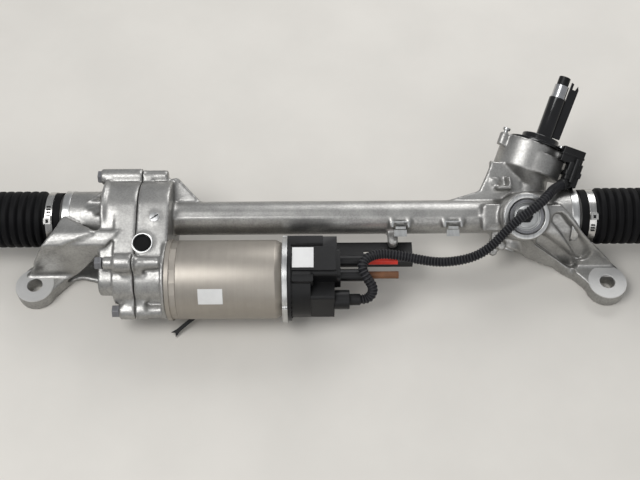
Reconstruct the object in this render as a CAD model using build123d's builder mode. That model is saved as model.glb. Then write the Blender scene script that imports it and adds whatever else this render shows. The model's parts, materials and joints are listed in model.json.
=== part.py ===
from build123d import *
import os
from math import acos, atan, cos, pi, radians, sin, tan

# Electric power steering rack: rack and pinion, with a belt and ball nut assist.
# Millimetres. +X runs along the rack to the pinion end, +Y to the rear, +Z up.
# The origin is midway between the two mounting bores, on the top of their pads.

os.makedirs("parts", exist_ok=True)

# Mounting
MOUNT_SPACING = 682.0
MOUNT_BORE = 18.0
PAD_RADIUS = 23.0
PAD_HEIGHT = 19.0
PAD_CHAMFER = 0.8
PAD_X = MOUNT_SPACING / 2

# Rack line
RACK_Y = 70.0
RACK_Z = 36.0
RACK_RADIUS = 15.0
RACK_LENGTH = 694.0
RACK_END = RACK_LENGTH / 2
TRAVEL = 76.0
RUNNING = 0.05
CLEARANCE = 0.3
WALL = 5.0

# Rack and pinion teeth
MODULE = 2.0
PRESSURE_ANGLE = 20.0
HELIX = 20.0
PINION_TEETH = 9
PROFILE_SHIFT = 0.4
BACKLASH = 0.12
TOOTH_TOP = 10.5
TOOTH_COUNT = 31
PINION_X = RACK_END - 110
PINION_LEAN = 35.0
PINION_FACE = 30.0

# Pinion tower, along the pinion axis from the rack crossing
TOWER_RADIUS = 24.0
TOWER_BOTTOM = -40.0
DRUM_RADIUS = 35.0
DRUM_OFFSET = -8.0
DRUM_BASE = 66.0
DRUM_TOP = 101.0
CAP_THICKNESS = 3.0
SHAFT_RADIUS = 8.9
SPLINE_RADIUS = 8.5
GUARD_RADIUS = 10.0
GUARD_TOP = 154.0
SHAFT_TOP = 168.0
SHAFT_CAP_TOP = 179.0

# Yoke
YOKE_RADIUS = 18.0
YOKE_BOSS_RADIUS = 28.0
YOKE_BOSS_HEIGHT = 44.0
YOKE_RING_RADIUS = 26.5
YOKE_RING_THICKNESS = 4.0

# Housing tube, necks and belt case
TUBE_RADIUS = 20.0
NECK_RADIUS = 33.0
NECK_BORE = 26.0
NECK_END = RACK_END - 45
CASE_LEFT = 47 - NECK_END
CASE_SEAM = CASE_LEFT + 42.5
CASE_RIGHT = CASE_LEFT + 80
CASE_RADIUS = 45.0
CASE_WALL = 4.5
BELT_CASE_RADIUS = 28.0
BELT_CASE_LEFT = CASE_LEFT + 18
BOLT_RADIUS = 4.0
BOLT_HEAD = 7.6

# Motor and electronics
MOTOR_DY = -82.7
MOTOR_DZ = -5.0
MOTOR_RADIUS = 45.5
MOTOR_LENGTH = 119.0
MOTOR_LEFT = CASE_RIGHT + 12
MOTOR_RIGHT = MOTOR_LEFT + MOTOR_LENGTH
MOTOR_WALL = 2.5
RING_RADIUS = 50.0
RING_LENGTH = 6.0
ECU_LENGTH = 56.0
ECU_RIGHT = MOTOR_RIGHT + RING_LENGTH + ECU_LENGTH
MOTOR_SHAFT = 6.0
MOTOR_PULLEY = 12.5
NUT_PULLEY = 33.1
BELT_WIDTH = 20.0
BELT_THICKNESS = 2.0

# Ball joints, tie rods and bellows
JOINT_X = RACK_END + 28
BALL_RADIUS = 13.0
SOCKET_RADIUS = 20.0
TIE_ROD_RADIUS = 7.5
THREAD_RADIUS = 7.0
TIE_ROD_END = JOINT_X + 275
THREAD_LENGTH = 65.0
THREAD_RELIEF = 6.6
LOCK_NUT_WIDTH = 10.0
BELLOWS_START = NECK_END + 4
BELLOWS_END = JOINT_X + 181
BELLOWS_RADIUS = 33.8
BELLOWS_WALL = 1.6
BELLOWS_PITCH = 9.8
BELLOWS_DEPTH = 5.0

CAST = Plane(origin=(0, RACK_Y, RACK_Z), x_dir=(1, 0, 0), z_dir=(0, -1, 0))
RACK_AXIS = Axis((0, RACK_Y, RACK_Z), (1, 0, 0))
MOTOR_Y = RACK_Y + MOTOR_DY
MOTOR_Z = RACK_Z + MOTOR_DZ
PAD_BOTTOM = -PAD_HEIGHT

lean = radians(PINION_LEAN)
helix = radians(HELIX)
press = radians(PRESSURE_ANGLE)
TOOTH_LINE = Vector(0, cos(lean), sin(lean))
YOKE_LINE = Vector(0, -sin(lean), cos(lean))
PINION_LINE = Vector(sin(helix), cos(helix) * cos(lean), cos(helix) * sin(lean))
PITCH_RADIUS = MODULE * PINION_TEETH / (2 * cos(helix))
CENTRE_DISTANCE = TOOTH_TOP - MODULE + PITCH_RADIUS + PROFILE_SHIFT * MODULE
CROSSING = Vector(PINION_X, RACK_Y, RACK_Z)
PINION_ORIGIN = CROSSING - YOKE_LINE * CENTRE_DISTANCE
PINION_X_DIR = Vector(cos(helix), -sin(helix) * cos(lean), -sin(helix) * sin(lean))


def across(x, y=RACK_Y, z=RACK_Z):
    """A plane square to the rack at x: its own x is +Y and its own y is +Z."""
    return Plane(origin=(x, y, z), x_dir=(0, 1, 0), z_dir=(1, 0, 0))


def pinion_plane(t):
    """A plane square to the pinion, t along its axis: its own -y faces the rack."""
    return Plane(origin=PINION_ORIGIN + PINION_LINE * t, x_dir=PINION_X_DIR, z_dir=PINION_LINE)


def yoke_plane(height):
    """A plane square to the yoke's axis, at a height over the rack's centre line."""
    return Plane(origin=CROSSING + YOKE_LINE * height, x_dir=(1, 0, 0), z_dir=YOKE_LINE)


def save(builder, name):
    """Label a finished piece and write its file."""
    builder.part.label = name
    export_step(builder.part, "parts/" + name + ".step")


def turned(plane, points):
    """A solid turned about the plane's own x axis, from a closed outline of (x, radius) points."""
    with BuildPart() as piece:
        with BuildSketch(plane):
            Polygon(*points, align=None)
        revolve(axis=Axis(plane.origin, plane.x_dir))
    return piece


def belt_case(left, right, rack_radius, belt_radius, mode=Mode.ADD):
    """A slice of the belt case: the hull of a circle on the rack and one on the motor."""
    with BuildSketch(across(left)) as profile:
        Circle(rack_radius)
        with Locations((MOTOR_DY, MOTOR_DZ)):
            Circle(belt_radius)
        make_hull()
    extrude(profile.sketch, amount=right - left, mode=mode)


def arm_side(lift=0.0):
    """The mounting arm seen along the rack, as (y, z) from the rack line, its top lowered by lift."""
    return [(0, 28 - lift), (-18 - lift, 27 - lift), (-46 - lift, PAD_DROP), (-95, PAD_DROP),
            (-95, PAD_DROP - PAD_HEIGHT), (-47, PAD_DROP - PAD_HEIGHT), (-20, -36), (0, -30)]


# Belt case and motor bolts: (y, z) from the rack line
CASE_BOLTS = [(42.0, 28.0), (-82.0, 31.0), (-117.0, -17.0), (-52.0, -46.0), (8.0, -47.0)]
CASE_BOLT_LEFT = [CASE_SEAM - reach for reach in (45.5, 33.5, 18.5, 18.5, 45.5)]
CASE_BOLT_RIGHT = [CASE_SEAM + reach for reach in (17, 28.5, 28.5, 28.5, 17)]
BOSS_RADIUS = 7.6
PAD_DROP = -RACK_Z
TUBE_BORE = RACK_RADIUS + 2.0
DAMPER_FACE = RACK_END - TRAVEL - CLEARANCE
DAMPER_WIDTH = 6.0
STOP_WALL = DAMPER_FACE - DAMPER_WIDTH
SPIGOT_RADIUS = NECK_RADIUS - 4.0
SPIGOT_END = NECK_END + 22.0
NUT_RADIUS = 24.0
BEARING_SEAT = CASE_RADIUS - CASE_WALL
PINION_BORE = 17.5
LOWER_BORE = 14.5
BUSH_RADIUS = 18.0
LUG_LENGTH = 12.0
FLANGE_THICKNESS = 5.0
RIGHT_NECK_START = PINION_X + 18
DRUM_WALL = 4.5

# Places that follow from the sizes above
TUBE_END = PINION_X - 32
RIB_WIDTH = 3.0
WEB_THICKNESS = 8.0
WEB_BOSS = (PINION_X - 28.3, 43.0)
TRAY_DZ = -9.0
POST_RADIUS = 6.0
POST_DY = -34.0
UPPER_BEARING = 20.0
PINION_BOTTOM = TOWER_BOTTOM + 4
PINION_TOP = 66.0
SHAFT_BOTTOM = 50.0
JOURNAL_RADIUS = 7.0
COLLAR_RADIUS = 12.0
COLLAR_START = 18.0
TORSION_RADIUS = 3.0
TORSION_BOTTOM = 24.0
TORSION_TOP = 146.0
CAP_SCREW = 2.5
CAP_BOSS = 6.0
CAP_RING = 16.0
CAP_RING_HEIGHT = 7.0
GUARD_BOTTOM = DRUM_TOP + CAP_THICKNESS + CAP_RING_HEIGHT + 1
YOKE_THREAD = YOKE_RADIUS + 1.5
YOKE_THREAD_START = 28.0
YOKE_PLUG_TOP = YOKE_BOSS_HEIGHT + 2.5
NUT_LEFT = CASE_LEFT + 9
NUT_RIGHT = CASE_RIGHT - 9
PULLEY_LEFT = NUT_RIGHT - 22
ROTOR_RADIUS = 20.0
AIR_GAP = 0.6
STATOR_LEFT = MOTOR_LEFT + 15
STATOR_RIGHT = MOTOR_RIGHT - 30
WINDING_LENGTH = 12.0
WINDING_RADIUS = MOTOR_RADIUS - 7.5
WINDING_BORE = ROTOR_RADIUS + 4
FACET_COUNT = 20
MOTOR_FACE = CASE_RIGHT
ECU_LEFT = MOTOR_RIGHT + RING_LENGTH
ECU_FLANGE = 4.0
POWER_DZ = 16.0
POWER_SLEEVES = [(14.0, POWER_DZ), (-5.0, POWER_DZ)]
SLEEVE_RADIUS = 7.0
SLEEVE_LENGTH = 30.0
CABLE_RADIUS = 4.2
TRAY_LEFT = ECU_RIGHT - 16
TRAY_LENGTH = 106.0
TRAY_POST_X = TRAY_LEFT + TRAY_LENGTH - 23
TRAY_DY = -44.0
TRAY_WIDTH = 28.0
PLUG_DY = -30.0
PLUG_DZ = 4.0
PLUG_BOOT = 12.0
CONDUIT_RADIUS = 5.8
SENSOR_BASE = DRUM_BASE - 2
SENSOR_BODY = PINION_ORIGIN + PINION_LINE * SENSOR_BASE + PINION_X_DIR * 43 + YOKE_LINE * 32
SENSOR_PLANE = Plane(origin=SENSOR_BODY, x_dir=PINION_X_DIR, z_dir=PINION_LINE)
SENSOR_OUTLET = Vector(-0.70, -0.59, 0.40)
OUTLET_LENGTH = 16.0
conduit_end = SENSOR_BODY + PINION_LINE * 4 + SENSOR_OUTLET.normalized() * OUTLET_LENGTH
conduit_turn = conduit_end + SENSOR_OUTLET.normalized() * 16
CONDUIT_ROUTE = [(44, -112.7, -1), (54, -112.7, -1), (60, -106, 12), (50, -99, 26), (45, -88, 31), (51, -77, 31),
                 (66, -69, 27), (87, -69, 24), (110, -70, 16), (135, -72, 12), (158, -70, 12), (178, -67, 17),
                 (195, -60, 27), (210, -48, 39), (227, -36, 50), (245, -26, 56), (261, -10, 57)]
SOCKET_MOUTH = 6.0
CUP_RADIUS = BALL_RADIUS + RUNNING
MOUTH_RADIUS = (CUP_RADIUS**2 - SOCKET_MOUTH**2) ** 0.5
ROD_NECK = 6.0
BALL_EDGE = (BALL_RADIUS**2 - ROD_NECK**2) ** 0.5
THREAD_START = TIE_ROD_END - THREAD_LENGTH
TAPER_LENGTH = 16.0
CUFF_LENGTH = 12.0
CUFF_RADIUS = 10.0
BELLOWS_FOLDS_START = SPIGOT_END + 3
BELLOWS_ROOM = BELLOWS_RADIUS + 3.2
CLAMP_START = NECK_END + 12
CLAMP_WIDTH = 8.0
BOLT_HEAD_HEIGHT = 8.0
STUD_RADIUS = 8.0
STUD_LENGTH = 22.0
CAP_SCREWS = [(DRUM_OFFSET + (DRUM_RADIUS + 3) * cos(radians(a)), (DRUM_RADIUS + 3) * sin(radians(a)))
              for a in (200, 80, -30)]

TOOTH_PITCH = pi * MODULE
ROOT_HEIGHT = TOOTH_TOP - 2.25 * MODULE
SPACE_HALF = TOOTH_PITCH / 4 + BACKLASH / 2
ROOT_HALF = SPACE_HALF - (TOOTH_TOP - MODULE - ROOT_HEIGHT) * tan(press)
TOP_HALF = SPACE_HALF + (MODULE + 1) * tan(press)
TEETH_PLANE = Plane(origin=CROSSING, x_dir=(1, 0, 0), z_dir=TOOTH_LINE)
TRANSVERSE = atan(tan(press) / cos(helix))
BASE_RADIUS = PITCH_RADIUS * cos(TRANSVERSE)
TIP_RADIUS = PITCH_RADIUS + MODULE * (1 + PROFILE_SHIFT)
ROOT_RADIUS = PITCH_RADIUS - MODULE * (1.25 - PROFILE_SHIFT)
TOOTH_WIDTH = TOOTH_PITCH / cos(helix) / 2 + 2 * PROFILE_SHIFT * MODULE * tan(TRANSVERSE) - BACKLASH
TOOTH_HALF = TOOTH_WIDTH / (2 * PITCH_RADIUS)
REAR_WEB = Plane(origin=(0, RACK_Y, RACK_Z), x_dir=(1, 0, 0), z_dir=YOKE_LINE)
FLAG_PLANE = Plane(origin=PINION_ORIGIN, x_dir=PINION_X_DIR, z_dir=YOKE_LINE)
web_plan = [(PINION_X + x, y) for x, y in
            ((-97, 16), (-47, 31), (-39, 49), (-29, 74), (3, 74), (3, 0), (-97, 0))]
gusset_plan = [(CASE_RIGHT + x, y) for x, y in ((-6, 4), (-6, 47), (4, 49), (34, 17), (34, 4))]

# Arm outlines from above: the root follows the case or the pinion, the outer end its pad
left_plan = [(CASE_LEFT + 17, 4), (CASE_LEFT + 17, -24)]
left_plan += [(-PAD_X + x, y) for x, y in
              ((44, -52), (23, -76), (0, -93), (-21, -80), (-23, -66), (-11, -47), (13, -35))]
left_plan += [(-NECK_END - 2, -15), (-NECK_END - 1, 4)]
right_plan = [(PINION_X + x, y) for x, y in ((-5, 4), (-3, -20), (12, -32), (45, -42))]
right_plan += [(PAD_X + x, y) for x, y in
               ((-35, -58), (-23, -72), (0, -93), (21, -80), (23, -66), (14, -48), (-5, -38), (-33, -27))]
right_plan += [(NECK_END - 16, -3), (NECK_END - 16, 4)]
front_pocket = [(PINION_X + 19, -26), (PINION_X + 27, -37), (PAD_X - 41, -57), (PAD_X - 35, -56),
                (PAD_X - 38, -50), (PINION_X + 29, -22)]
rear_pocket = [(PINION_X + 34, -18), (PINION_X + 47, -9), (PAD_X - 37, -27), (PAD_X - 23, -44),
               (PAD_X - 29, -47), (PAD_X - 35, -45)]


def neck(side, start):
    """One end's neck: a turned barrel with the bellows spigot, side -1 at the left and 1 at the right."""
    with BuildSketch(CAST) as profile:
        Polygon((start, 0), (side * SPIGOT_END, 0), (side * SPIGOT_END, SPIGOT_RADIUS),
                (side * NECK_END, SPIGOT_RADIUS), (side * NECK_END, NECK_RADIUS),
                (start, NECK_RADIUS), align=None)
    revolve(profile.sketch, axis=RACK_AXIS)


def bellows_room(side):
    """Room round the bellows and its clamp, cut from the arm beside them."""
    with BuildSketch(across(side * (NECK_END + 0.5))) as profile:
        Circle(BELLOWS_ROOM)
    extrude(profile.sketch, amount=side * 80, mode=Mode.SUBTRACT)


def neck_bore(side):
    """The socket's room inside a neck, from the stop wall outwards."""
    with BuildSketch(across(side * STOP_WALL)) as profile:
        Circle(NECK_BORE)
    extrude(profile.sketch, amount=side * (SPIGOT_END - STOP_WALL + 1), mode=Mode.SUBTRACT)


def rack_hole(left, right, radius):
    """A hole on the rack's line."""
    with BuildSketch(across(left)) as profile:
        Circle(radius)
    extrude(profile.sketch, amount=right - left, mode=Mode.SUBTRACT)


def pad(side):
    """The boss at an arm's end and its bore."""
    with BuildSketch(Plane.XY.offset(PAD_BOTTOM)) as profile:
        with Locations((side * PAD_X, 0)):
            Circle(PAD_RADIUS)
    extrude(profile.sketch, amount=PAD_HEIGHT)


def pad_bore(side):
    """The mounting bore through a boss."""
    with BuildSketch(Plane.XY.offset(PAD_BOTTOM)) as profile:
        with Locations((side * PAD_X, 0)):
            Circle(MOUNT_BORE / 2)
    extrude(profile.sketch, amount=PAD_HEIGHT, mode=Mode.SUBTRACT)


def case_bosses(left_side):
    """The bolt bosses of one casting, on that casting's side of the seam."""
    for (y, z), left, right in zip(CASE_BOLTS, CASE_BOLT_LEFT, CASE_BOLT_RIGHT):
        start, end = (left, CASE_SEAM) if left_side else (CASE_SEAM, right)
        with BuildSketch(across(start)) as profile:
            with Locations((y, z)):
                Circle(BOSS_RADIUS if left_side else BOSS_RADIUS - 1.2)
        extrude(profile.sketch, amount=end - start)
        lug = -LUG_LENGTH if left_side else LUG_LENGTH
        with BuildSketch(across(CASE_SEAM)) as profile:
            with Locations((y, z)):
                Circle(BOSS_RADIUS)
            with Locations((MOTOR_DY, MOTOR_DZ) if y < MOTOR_DY / 2 else (0, 0)):
                Circle(BELT_CASE_RADIUS - 8)
            make_hull()
        extrude(profile.sketch, amount=lug)


def case_bolt_holes(left_side):
    """Clearance holes in the cover, tapping holes in the main housing."""
    for (y, z), left, right in zip(CASE_BOLTS, CASE_BOLT_LEFT, CASE_BOLT_RIGHT):
        start, end = (left, CASE_SEAM) if left_side else (CASE_SEAM, right)
        with BuildSketch(across(start)) as profile:
            with Locations((y, z)):
                Circle(BOLT_RADIUS + (CLEARANCE if left_side else 0.05))
        extrude(profile.sketch, amount=end - start, mode=Mode.SUBTRACT)


def arm(plan, side):
    """A mounting arm: its plan and its side outline crossed, with the bored pad at its end."""
    with BuildPart(mode=Mode.PRIVATE) as body:
        with BuildSketch(Plane.XY.offset(PAD_BOTTOM)):
            with Locations((0, RACK_Y)):
                Polygon(*plan, align=None)
        extrude(amount=90)
        with BuildSketch(across(side * (PINION_X - 7))):
            Polygon(*arm_side(), align=None)
        extrude(amount=side * 140, mode=Mode.INTERSECT)
    return body.part


def arm_pockets():
    """Two long pockets in the right arm's top, with a rib between them and an even floor."""
    with BuildPart(mode=Mode.PRIVATE) as pockets:
        with BuildSketch(Plane.XY.offset(PAD_BOTTOM)):
            with Locations((0, RACK_Y)):
                Polygon(*front_pocket, align=None)
                Polygon(*rear_pocket, align=None)
        extrude(amount=110)
        with BuildSketch(across(PINION_X - 7)):
            Polygon((4, 60), (4, 22), (-24, 18), (-52, PAD_DROP - 6), (-95, PAD_DROP - 6), (-95, 60), align=None)
        extrude(amount=140, mode=Mode.INTERSECT)
    return pockets.part


# Gear cover: the left casting, with the left neck and mounting arm
with BuildPart() as gear_cover:
    belt_case(CASE_LEFT, CASE_SEAM, CASE_RADIUS, CASE_RADIUS * 0.4)
    belt_case(BELT_CASE_LEFT, CASE_SEAM, CASE_RADIUS, BELT_CASE_RADIUS)
    with BuildSketch(CAST):
        Polygon((CASE_LEFT, 0), (CASE_LEFT, CASE_RADIUS + 2.5), (CASE_LEFT + 5, CASE_RADIUS + 2.5),
                (CASE_LEFT + 5, 0), align=None)
    revolve(axis=RACK_AXIS)
    add(arm(left_plan, -1))
    bellows_room(-1)
    neck(-1, CASE_LEFT)
    pad(-1)
    case_bosses(True)
    belt_case(CASE_LEFT + WALL, CASE_SEAM, BEARING_SEAT, 8.0, Mode.SUBTRACT)
    belt_case(BELT_CASE_LEFT + WALL, CASE_SEAM, BEARING_SEAT, BELT_CASE_RADIUS - CASE_WALL, Mode.SUBTRACT)
    neck_bore(-1)
    rack_hole(-STOP_WALL, CASE_LEFT + WALL + 1, BUSH_RADIUS)
    pad_bore(-1)
    case_bolt_holes(True)
save(gear_cover, "gear_cover")

# Main housing: the right casting, with the tube, the pinion tower, the yoke boss and the right arm
with BuildPart() as rack_housing:
    belt_case(CASE_SEAM, CASE_RIGHT, CASE_RADIUS, BELT_CASE_RADIUS)
    with BuildSketch(across(CASE_RIGHT)):
        with Locations((MOTOR_DY, MOTOR_DZ)):
            Circle(MOTOR_RADIUS)
    extrude(amount=-FLANGE_THICKNESS)
    with BuildSketch(across(CASE_RIGHT - 2)):
        Circle(TUBE_RADIUS)
    extrude(amount=RIGHT_NECK_START + 10 - CASE_RIGHT)
    # parting rib along the tube, on the side that faces the yoke plug
    with BuildSketch(yoke_plane(TUBE_RADIUS - 2)):
        with Locations(((CASE_RIGHT + TUBE_END) / 2 - PINION_X, 0)):
            Rectangle(TUBE_END - CASE_RIGHT + 8, RIB_WIDTH)
    extrude(amount=RIB_WIDTH)
    # flat webs behind the tube, in the plane of the tooth line
    with BuildSketch(REAR_WEB.offset(-WEB_THICKNESS / 2)):
        Polygon(*web_plan, align=None)
        Polygon(*gusset_plan, align=None)
    extrude(amount=WEB_THICKNESS)
    with BuildSketch(REAR_WEB):
        with Locations(WEB_BOSS):
            Circle(5.5)
    extrude(amount=WEB_THICKNESS / 2 + 2)
    # mounting arm with two long pockets in its top
    add(arm(right_plan, 1))
    add(arm_pockets(), mode=Mode.SUBTRACT)
    bellows_room(1)
    # right neck, widening from the pinion end
    neck(1, RIGHT_NECK_START)
    with BuildSketch(across(PINION_X - 4)):
        Circle(TUBE_RADIUS + 5)
    with BuildSketch(across(RIGHT_NECK_START + 4)):
        Circle(NECK_RADIUS)
    loft()
    # pinion barrel, drum and the shoulder between them
    with BuildSketch(pinion_plane(TOWER_BOTTOM)):
        Circle(TOWER_RADIUS - 4)
    extrude(amount=DRUM_BASE - TOWER_BOTTOM)
    with BuildSketch(pinion_plane(-18)):
        Circle(TOWER_RADIUS)
    extrude(amount=DRUM_BASE + 18)
    with BuildSketch(pinion_plane(DRUM_BASE - 20)):
        Circle(TOWER_RADIUS)
    with BuildSketch(pinion_plane(DRUM_BASE)):
        with Locations((DRUM_OFFSET, 0)):
            Circle(DRUM_RADIUS - 1)
    loft()
    with BuildSketch(pinion_plane(DRUM_BASE - 1)):
        with Locations((DRUM_OFFSET, 0)):
            Circle(DRUM_RADIUS)
        with Locations((DRUM_OFFSET + DRUM_RADIUS - 2, -12)):
            Rectangle(16, 24)
    extrude(amount=DRUM_TOP - DRUM_BASE + 1)
    with BuildSketch(pinion_plane(DRUM_TOP - 16)):
        with Locations(*CAP_SCREWS):
            Circle(CAP_BOSS)
    extrude(amount=16)
    # yoke boss
    with BuildSketch(yoke_plane(0)):
        Circle(YOKE_BOSS_RADIUS)
    extrude(amount=YOKE_BOSS_HEIGHT)
    with BuildSketch(yoke_plane(0)):
        with Locations((-YOKE_BOSS_RADIUS - 4, 2)):
            Rectangle(24, 26)
    extrude(amount=24)
    pad(1)
    case_bosses(False)
    # tray post under the tube
    with BuildSketch(Plane(origin=(TRAY_POST_X, RACK_Y, RACK_Z + TRAY_DZ), z_dir=(0, 0, 1))):
        with Locations((0, POST_DY / 2 - 4)):
            Rectangle(2 * POST_RADIUS, -POST_DY - 8)
        with Locations((0, POST_DY)):
            Circle(POST_RADIUS)
    extrude(amount=10)
    # bores
    belt_case(CASE_SEAM, CASE_RIGHT - WALL, BEARING_SEAT, BELT_CASE_RADIUS - CASE_WALL, Mode.SUBTRACT)
    rack_hole(CASE_SEAM, STOP_WALL + 1, TUBE_BORE)
    neck_bore(1)
    pad_bore(1)
    case_bolt_holes(False)
    with BuildSketch(across(CASE_RIGHT - WALL - 1)):
        with Locations((MOTOR_DY, MOTOR_DZ)):
            Circle(BELT_CASE_RADIUS - CASE_WALL)
    extrude(amount=WALL + 2, mode=Mode.SUBTRACT)
    with BuildSketch(pinion_plane(TOWER_BOTTOM)):
        Circle(LOWER_BORE)
    extrude(amount=60, mode=Mode.SUBTRACT)
    with BuildSketch(pinion_plane(UPPER_BEARING)):
        Circle(PINION_BORE)
    extrude(amount=DRUM_TOP - UPPER_BEARING, mode=Mode.SUBTRACT)
    with BuildSketch(pinion_plane(DRUM_BASE + 5)):
        with Locations((DRUM_OFFSET, 0)):
            Circle(DRUM_RADIUS - DRUM_WALL)
    extrude(amount=DRUM_TOP - DRUM_BASE, mode=Mode.SUBTRACT)
    with BuildSketch(pinion_plane(DRUM_TOP - 14)):
        with Locations(*CAP_SCREWS):
            Circle(CAP_SCREW + 0.05)
    extrude(amount=14, mode=Mode.SUBTRACT)
    with BuildSketch(yoke_plane(2)):
        Circle(YOKE_RADIUS)
    extrude(amount=YOKE_BOSS_HEIGHT, mode=Mode.SUBTRACT)
    with BuildSketch(yoke_plane(YOKE_THREAD_START)):
        Circle(YOKE_THREAD)
    extrude(amount=YOKE_BOSS_HEIGHT, mode=Mode.SUBTRACT)
save(rack_housing, "rack_housing")


# Rack bar: plain screw length at the left, teeth at the right, a threaded socket hole in each end
with BuildPart() as rack_bar:
    with BuildSketch(across(-RACK_END)):
        Circle(RACK_RADIUS)
    extrude(amount=RACK_LENGTH)
    chamfer(rack_bar.edges().filter_by(GeomType.CIRCLE), 1.0)
    with BuildSketch(TEETH_PLANE):
        with Locations((0, TOOTH_TOP + RACK_RADIUS / 2)):
            Rectangle(TOOTH_COUNT * TOOTH_PITCH, RACK_RADIUS)
    extrude(amount=RACK_RADIUS, both=True, mode=Mode.SUBTRACT)
    with BuildSketch(TEETH_PLANE):
        with GridLocations(TOOTH_PITCH, 0, TOOTH_COUNT - 1, 1):
            Polygon((-ROOT_HALF, ROOT_HEIGHT), (ROOT_HALF, ROOT_HEIGHT), (TOP_HALF, TOOTH_TOP + 1),
                    (-TOP_HALF, TOOTH_TOP + 1), align=None)
    extrude(amount=RACK_RADIUS, both=True, mode=Mode.SUBTRACT)
    for end in (-1, 1):
        with BuildSketch(across(end * RACK_END)):
            Circle(STUD_RADIUS)
        extrude(amount=-end * STUD_LENGTH, mode=Mode.SUBTRACT)
save(rack_bar, "rack_bar")


def tooth_flank(radius):
    """Half the angle of a pinion tooth at a radius, in radians."""
    roll = acos(min(1.0, BASE_RADIUS / radius))
    return TOOTH_HALF + (tan(TRANSVERSE) - TRANSVERSE) - (tan(roll) - roll)


def on_circle(radius, angle):
    """A point on a circle about the origin."""
    return (radius * cos(angle), radius * sin(angle))


# Pinion: nine helical involute teeth, swept along the axis with the helix as their guide
FLANK_STEPS = 3
FLANK_START = BASE_RADIUS + 0.01
flank_radii = [FLANK_START + (TIP_RADIUS - FLANK_START) * step / FLANK_STEPS for step in range(FLANK_STEPS + 1)]
face_start = -PINION_FACE / 2
first_tooth = radians(-90 + 180 / PINION_TEETH) + PINION_FACE / 2 * tan(helix) / PITCH_RADIUS
with BuildPart() as pinion:
    with BuildSketch(Plane.XY.offset(face_start)):
        with BuildLine():
            for tooth in range(PINION_TEETH):
                centre = first_tooth + 2 * pi * tooth / PINION_TEETH
                start = centre - tooth_flank(flank_radii[0])
                end = centre + tooth_flank(flank_radii[0])
                after = start + 2 * pi / PINION_TEETH
                rising = [on_circle(r, centre - tooth_flank(r)) for r in flank_radii]
                falling = [on_circle(r, centre + tooth_flank(r)) for r in reversed(flank_radii)]
                Line(on_circle(ROOT_RADIUS, start), rising[0])
                Polyline(*rising)
                ThreePointArc(rising[-1], on_circle(TIP_RADIUS, centre), falling[0])
                Polyline(*falling)
                Line(falling[-1], on_circle(ROOT_RADIUS, end))
                ThreePointArc(on_circle(ROOT_RADIUS, end), on_circle(ROOT_RADIUS, (end + after) / 2),
                              on_circle(ROOT_RADIUS, after))
        make_face()
    sweep(path=Edge.make_line((0, 0, face_start), (0, 0, -face_start)),
          binormal=Edge.make_helix(2 * pi * PITCH_RADIUS / tan(helix), PINION_FACE, 1,
                                   center=(0, 0, face_start), lefthand=True))
    with BuildSketch(Plane.XY.offset(PINION_BOTTOM)):
        Circle(JOURNAL_RADIUS)
    extrude(amount=face_start - PINION_BOTTOM + 1)
    with BuildSketch(Plane.XY.offset(-face_start - 1)):
        Circle(JOURNAL_RADIUS)
    extrude(amount=COLLAR_START + face_start + 2)
    with BuildSketch(Plane.XY.offset(COLLAR_START)):
        Circle(COLLAR_RADIUS)
    extrude(amount=PINION_TOP - COLLAR_START)
    with BuildSketch(Plane.XY.offset(SHAFT_BOTTOM - 1)):
        Circle(SHAFT_RADIUS + RUNNING)
    extrude(amount=PINION_TOP, mode=Mode.SUBTRACT)
    with BuildSketch(Plane.XY.offset(TORSION_BOTTOM)):
        Circle(TORSION_RADIUS)
    extrude(amount=PINION_TOP, mode=Mode.SUBTRACT)
pinion.part.locate(Location(pinion_plane(0)))
save(pinion, "pinion")


def turned_on(plane, name, *rings):
    """A node of coaxial rings on a plane: each is (start, end, outer radius, inner radius)."""
    with BuildPart() as piece:
        for start, end, outer, inner in rings:
            with BuildSketch(plane.offset(start)) as profile:
                Circle(outer)
                if inner:
                    Circle(inner, mode=Mode.SUBTRACT)
            extrude(profile.sketch, amount=end - start)
    save(piece, name)
    return piece


PINION_BASE = pinion_plane(0)
YOKE_BASE = yoke_plane(0)
RACK_BASE = across(0)
MOTOR_BASE = across(0, MOTOR_Y, MOTOR_Z)

turned_on(PINION_BASE, "pinion_bearings",
          (PINION_BOTTOM + 2, PINION_BOTTOM + 12, LOWER_BORE, JOURNAL_RADIUS + RUNNING),
          (UPPER_BEARING, UPPER_BEARING + 12, PINION_BORE, COLLAR_RADIUS + RUNNING))
turned_on(PINION_BASE, "pinion_cap",
          (TOWER_BOTTOM - 1.5, PINION_BOTTOM - CLEARANCE, LOWER_BORE, 0))
turned_on(PINION_BASE, "torsion_bar",
          (TORSION_BOTTOM, TORSION_TOP, TORSION_RADIUS, 0))

# Input shaft, bored for the torsion bar, with a slimmer splined end
with BuildPart() as input_shaft:
    with BuildSketch(pinion_plane(SHAFT_BOTTOM)):
        Circle(SHAFT_RADIUS)
    extrude(amount=GUARD_TOP - SHAFT_BOTTOM)
    with BuildSketch(pinion_plane(GUARD_TOP)):
        Circle(SPLINE_RADIUS)
    extrude(amount=SHAFT_TOP - GUARD_TOP)
    with BuildSketch(pinion_plane(SHAFT_BOTTOM)):
        Circle(TORSION_RADIUS + RUNNING)
    extrude(amount=TORSION_TOP + CLEARANCE - SHAFT_BOTTOM, mode=Mode.SUBTRACT)
save(input_shaft, "input_shaft")

turned_on(PINION_BASE, "sensor_rotor",
          (DRUM_BASE + 10, DRUM_BASE + 18, COLLAR_RADIUS + 3, SHAFT_RADIUS))
turned_on(PINION_BASE, "torque_sensor",
          (DRUM_BASE + 5, DRUM_BASE + 8, 21, SHAFT_RADIUS + 2),
          (DRUM_BASE + 8, DRUM_BASE + 24, 21, COLLAR_RADIUS + 4))
turned_on(PINION_BASE, "shaft_end_cap",
          (SHAFT_TOP, SHAFT_CAP_TOP, 7, 0))

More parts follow.
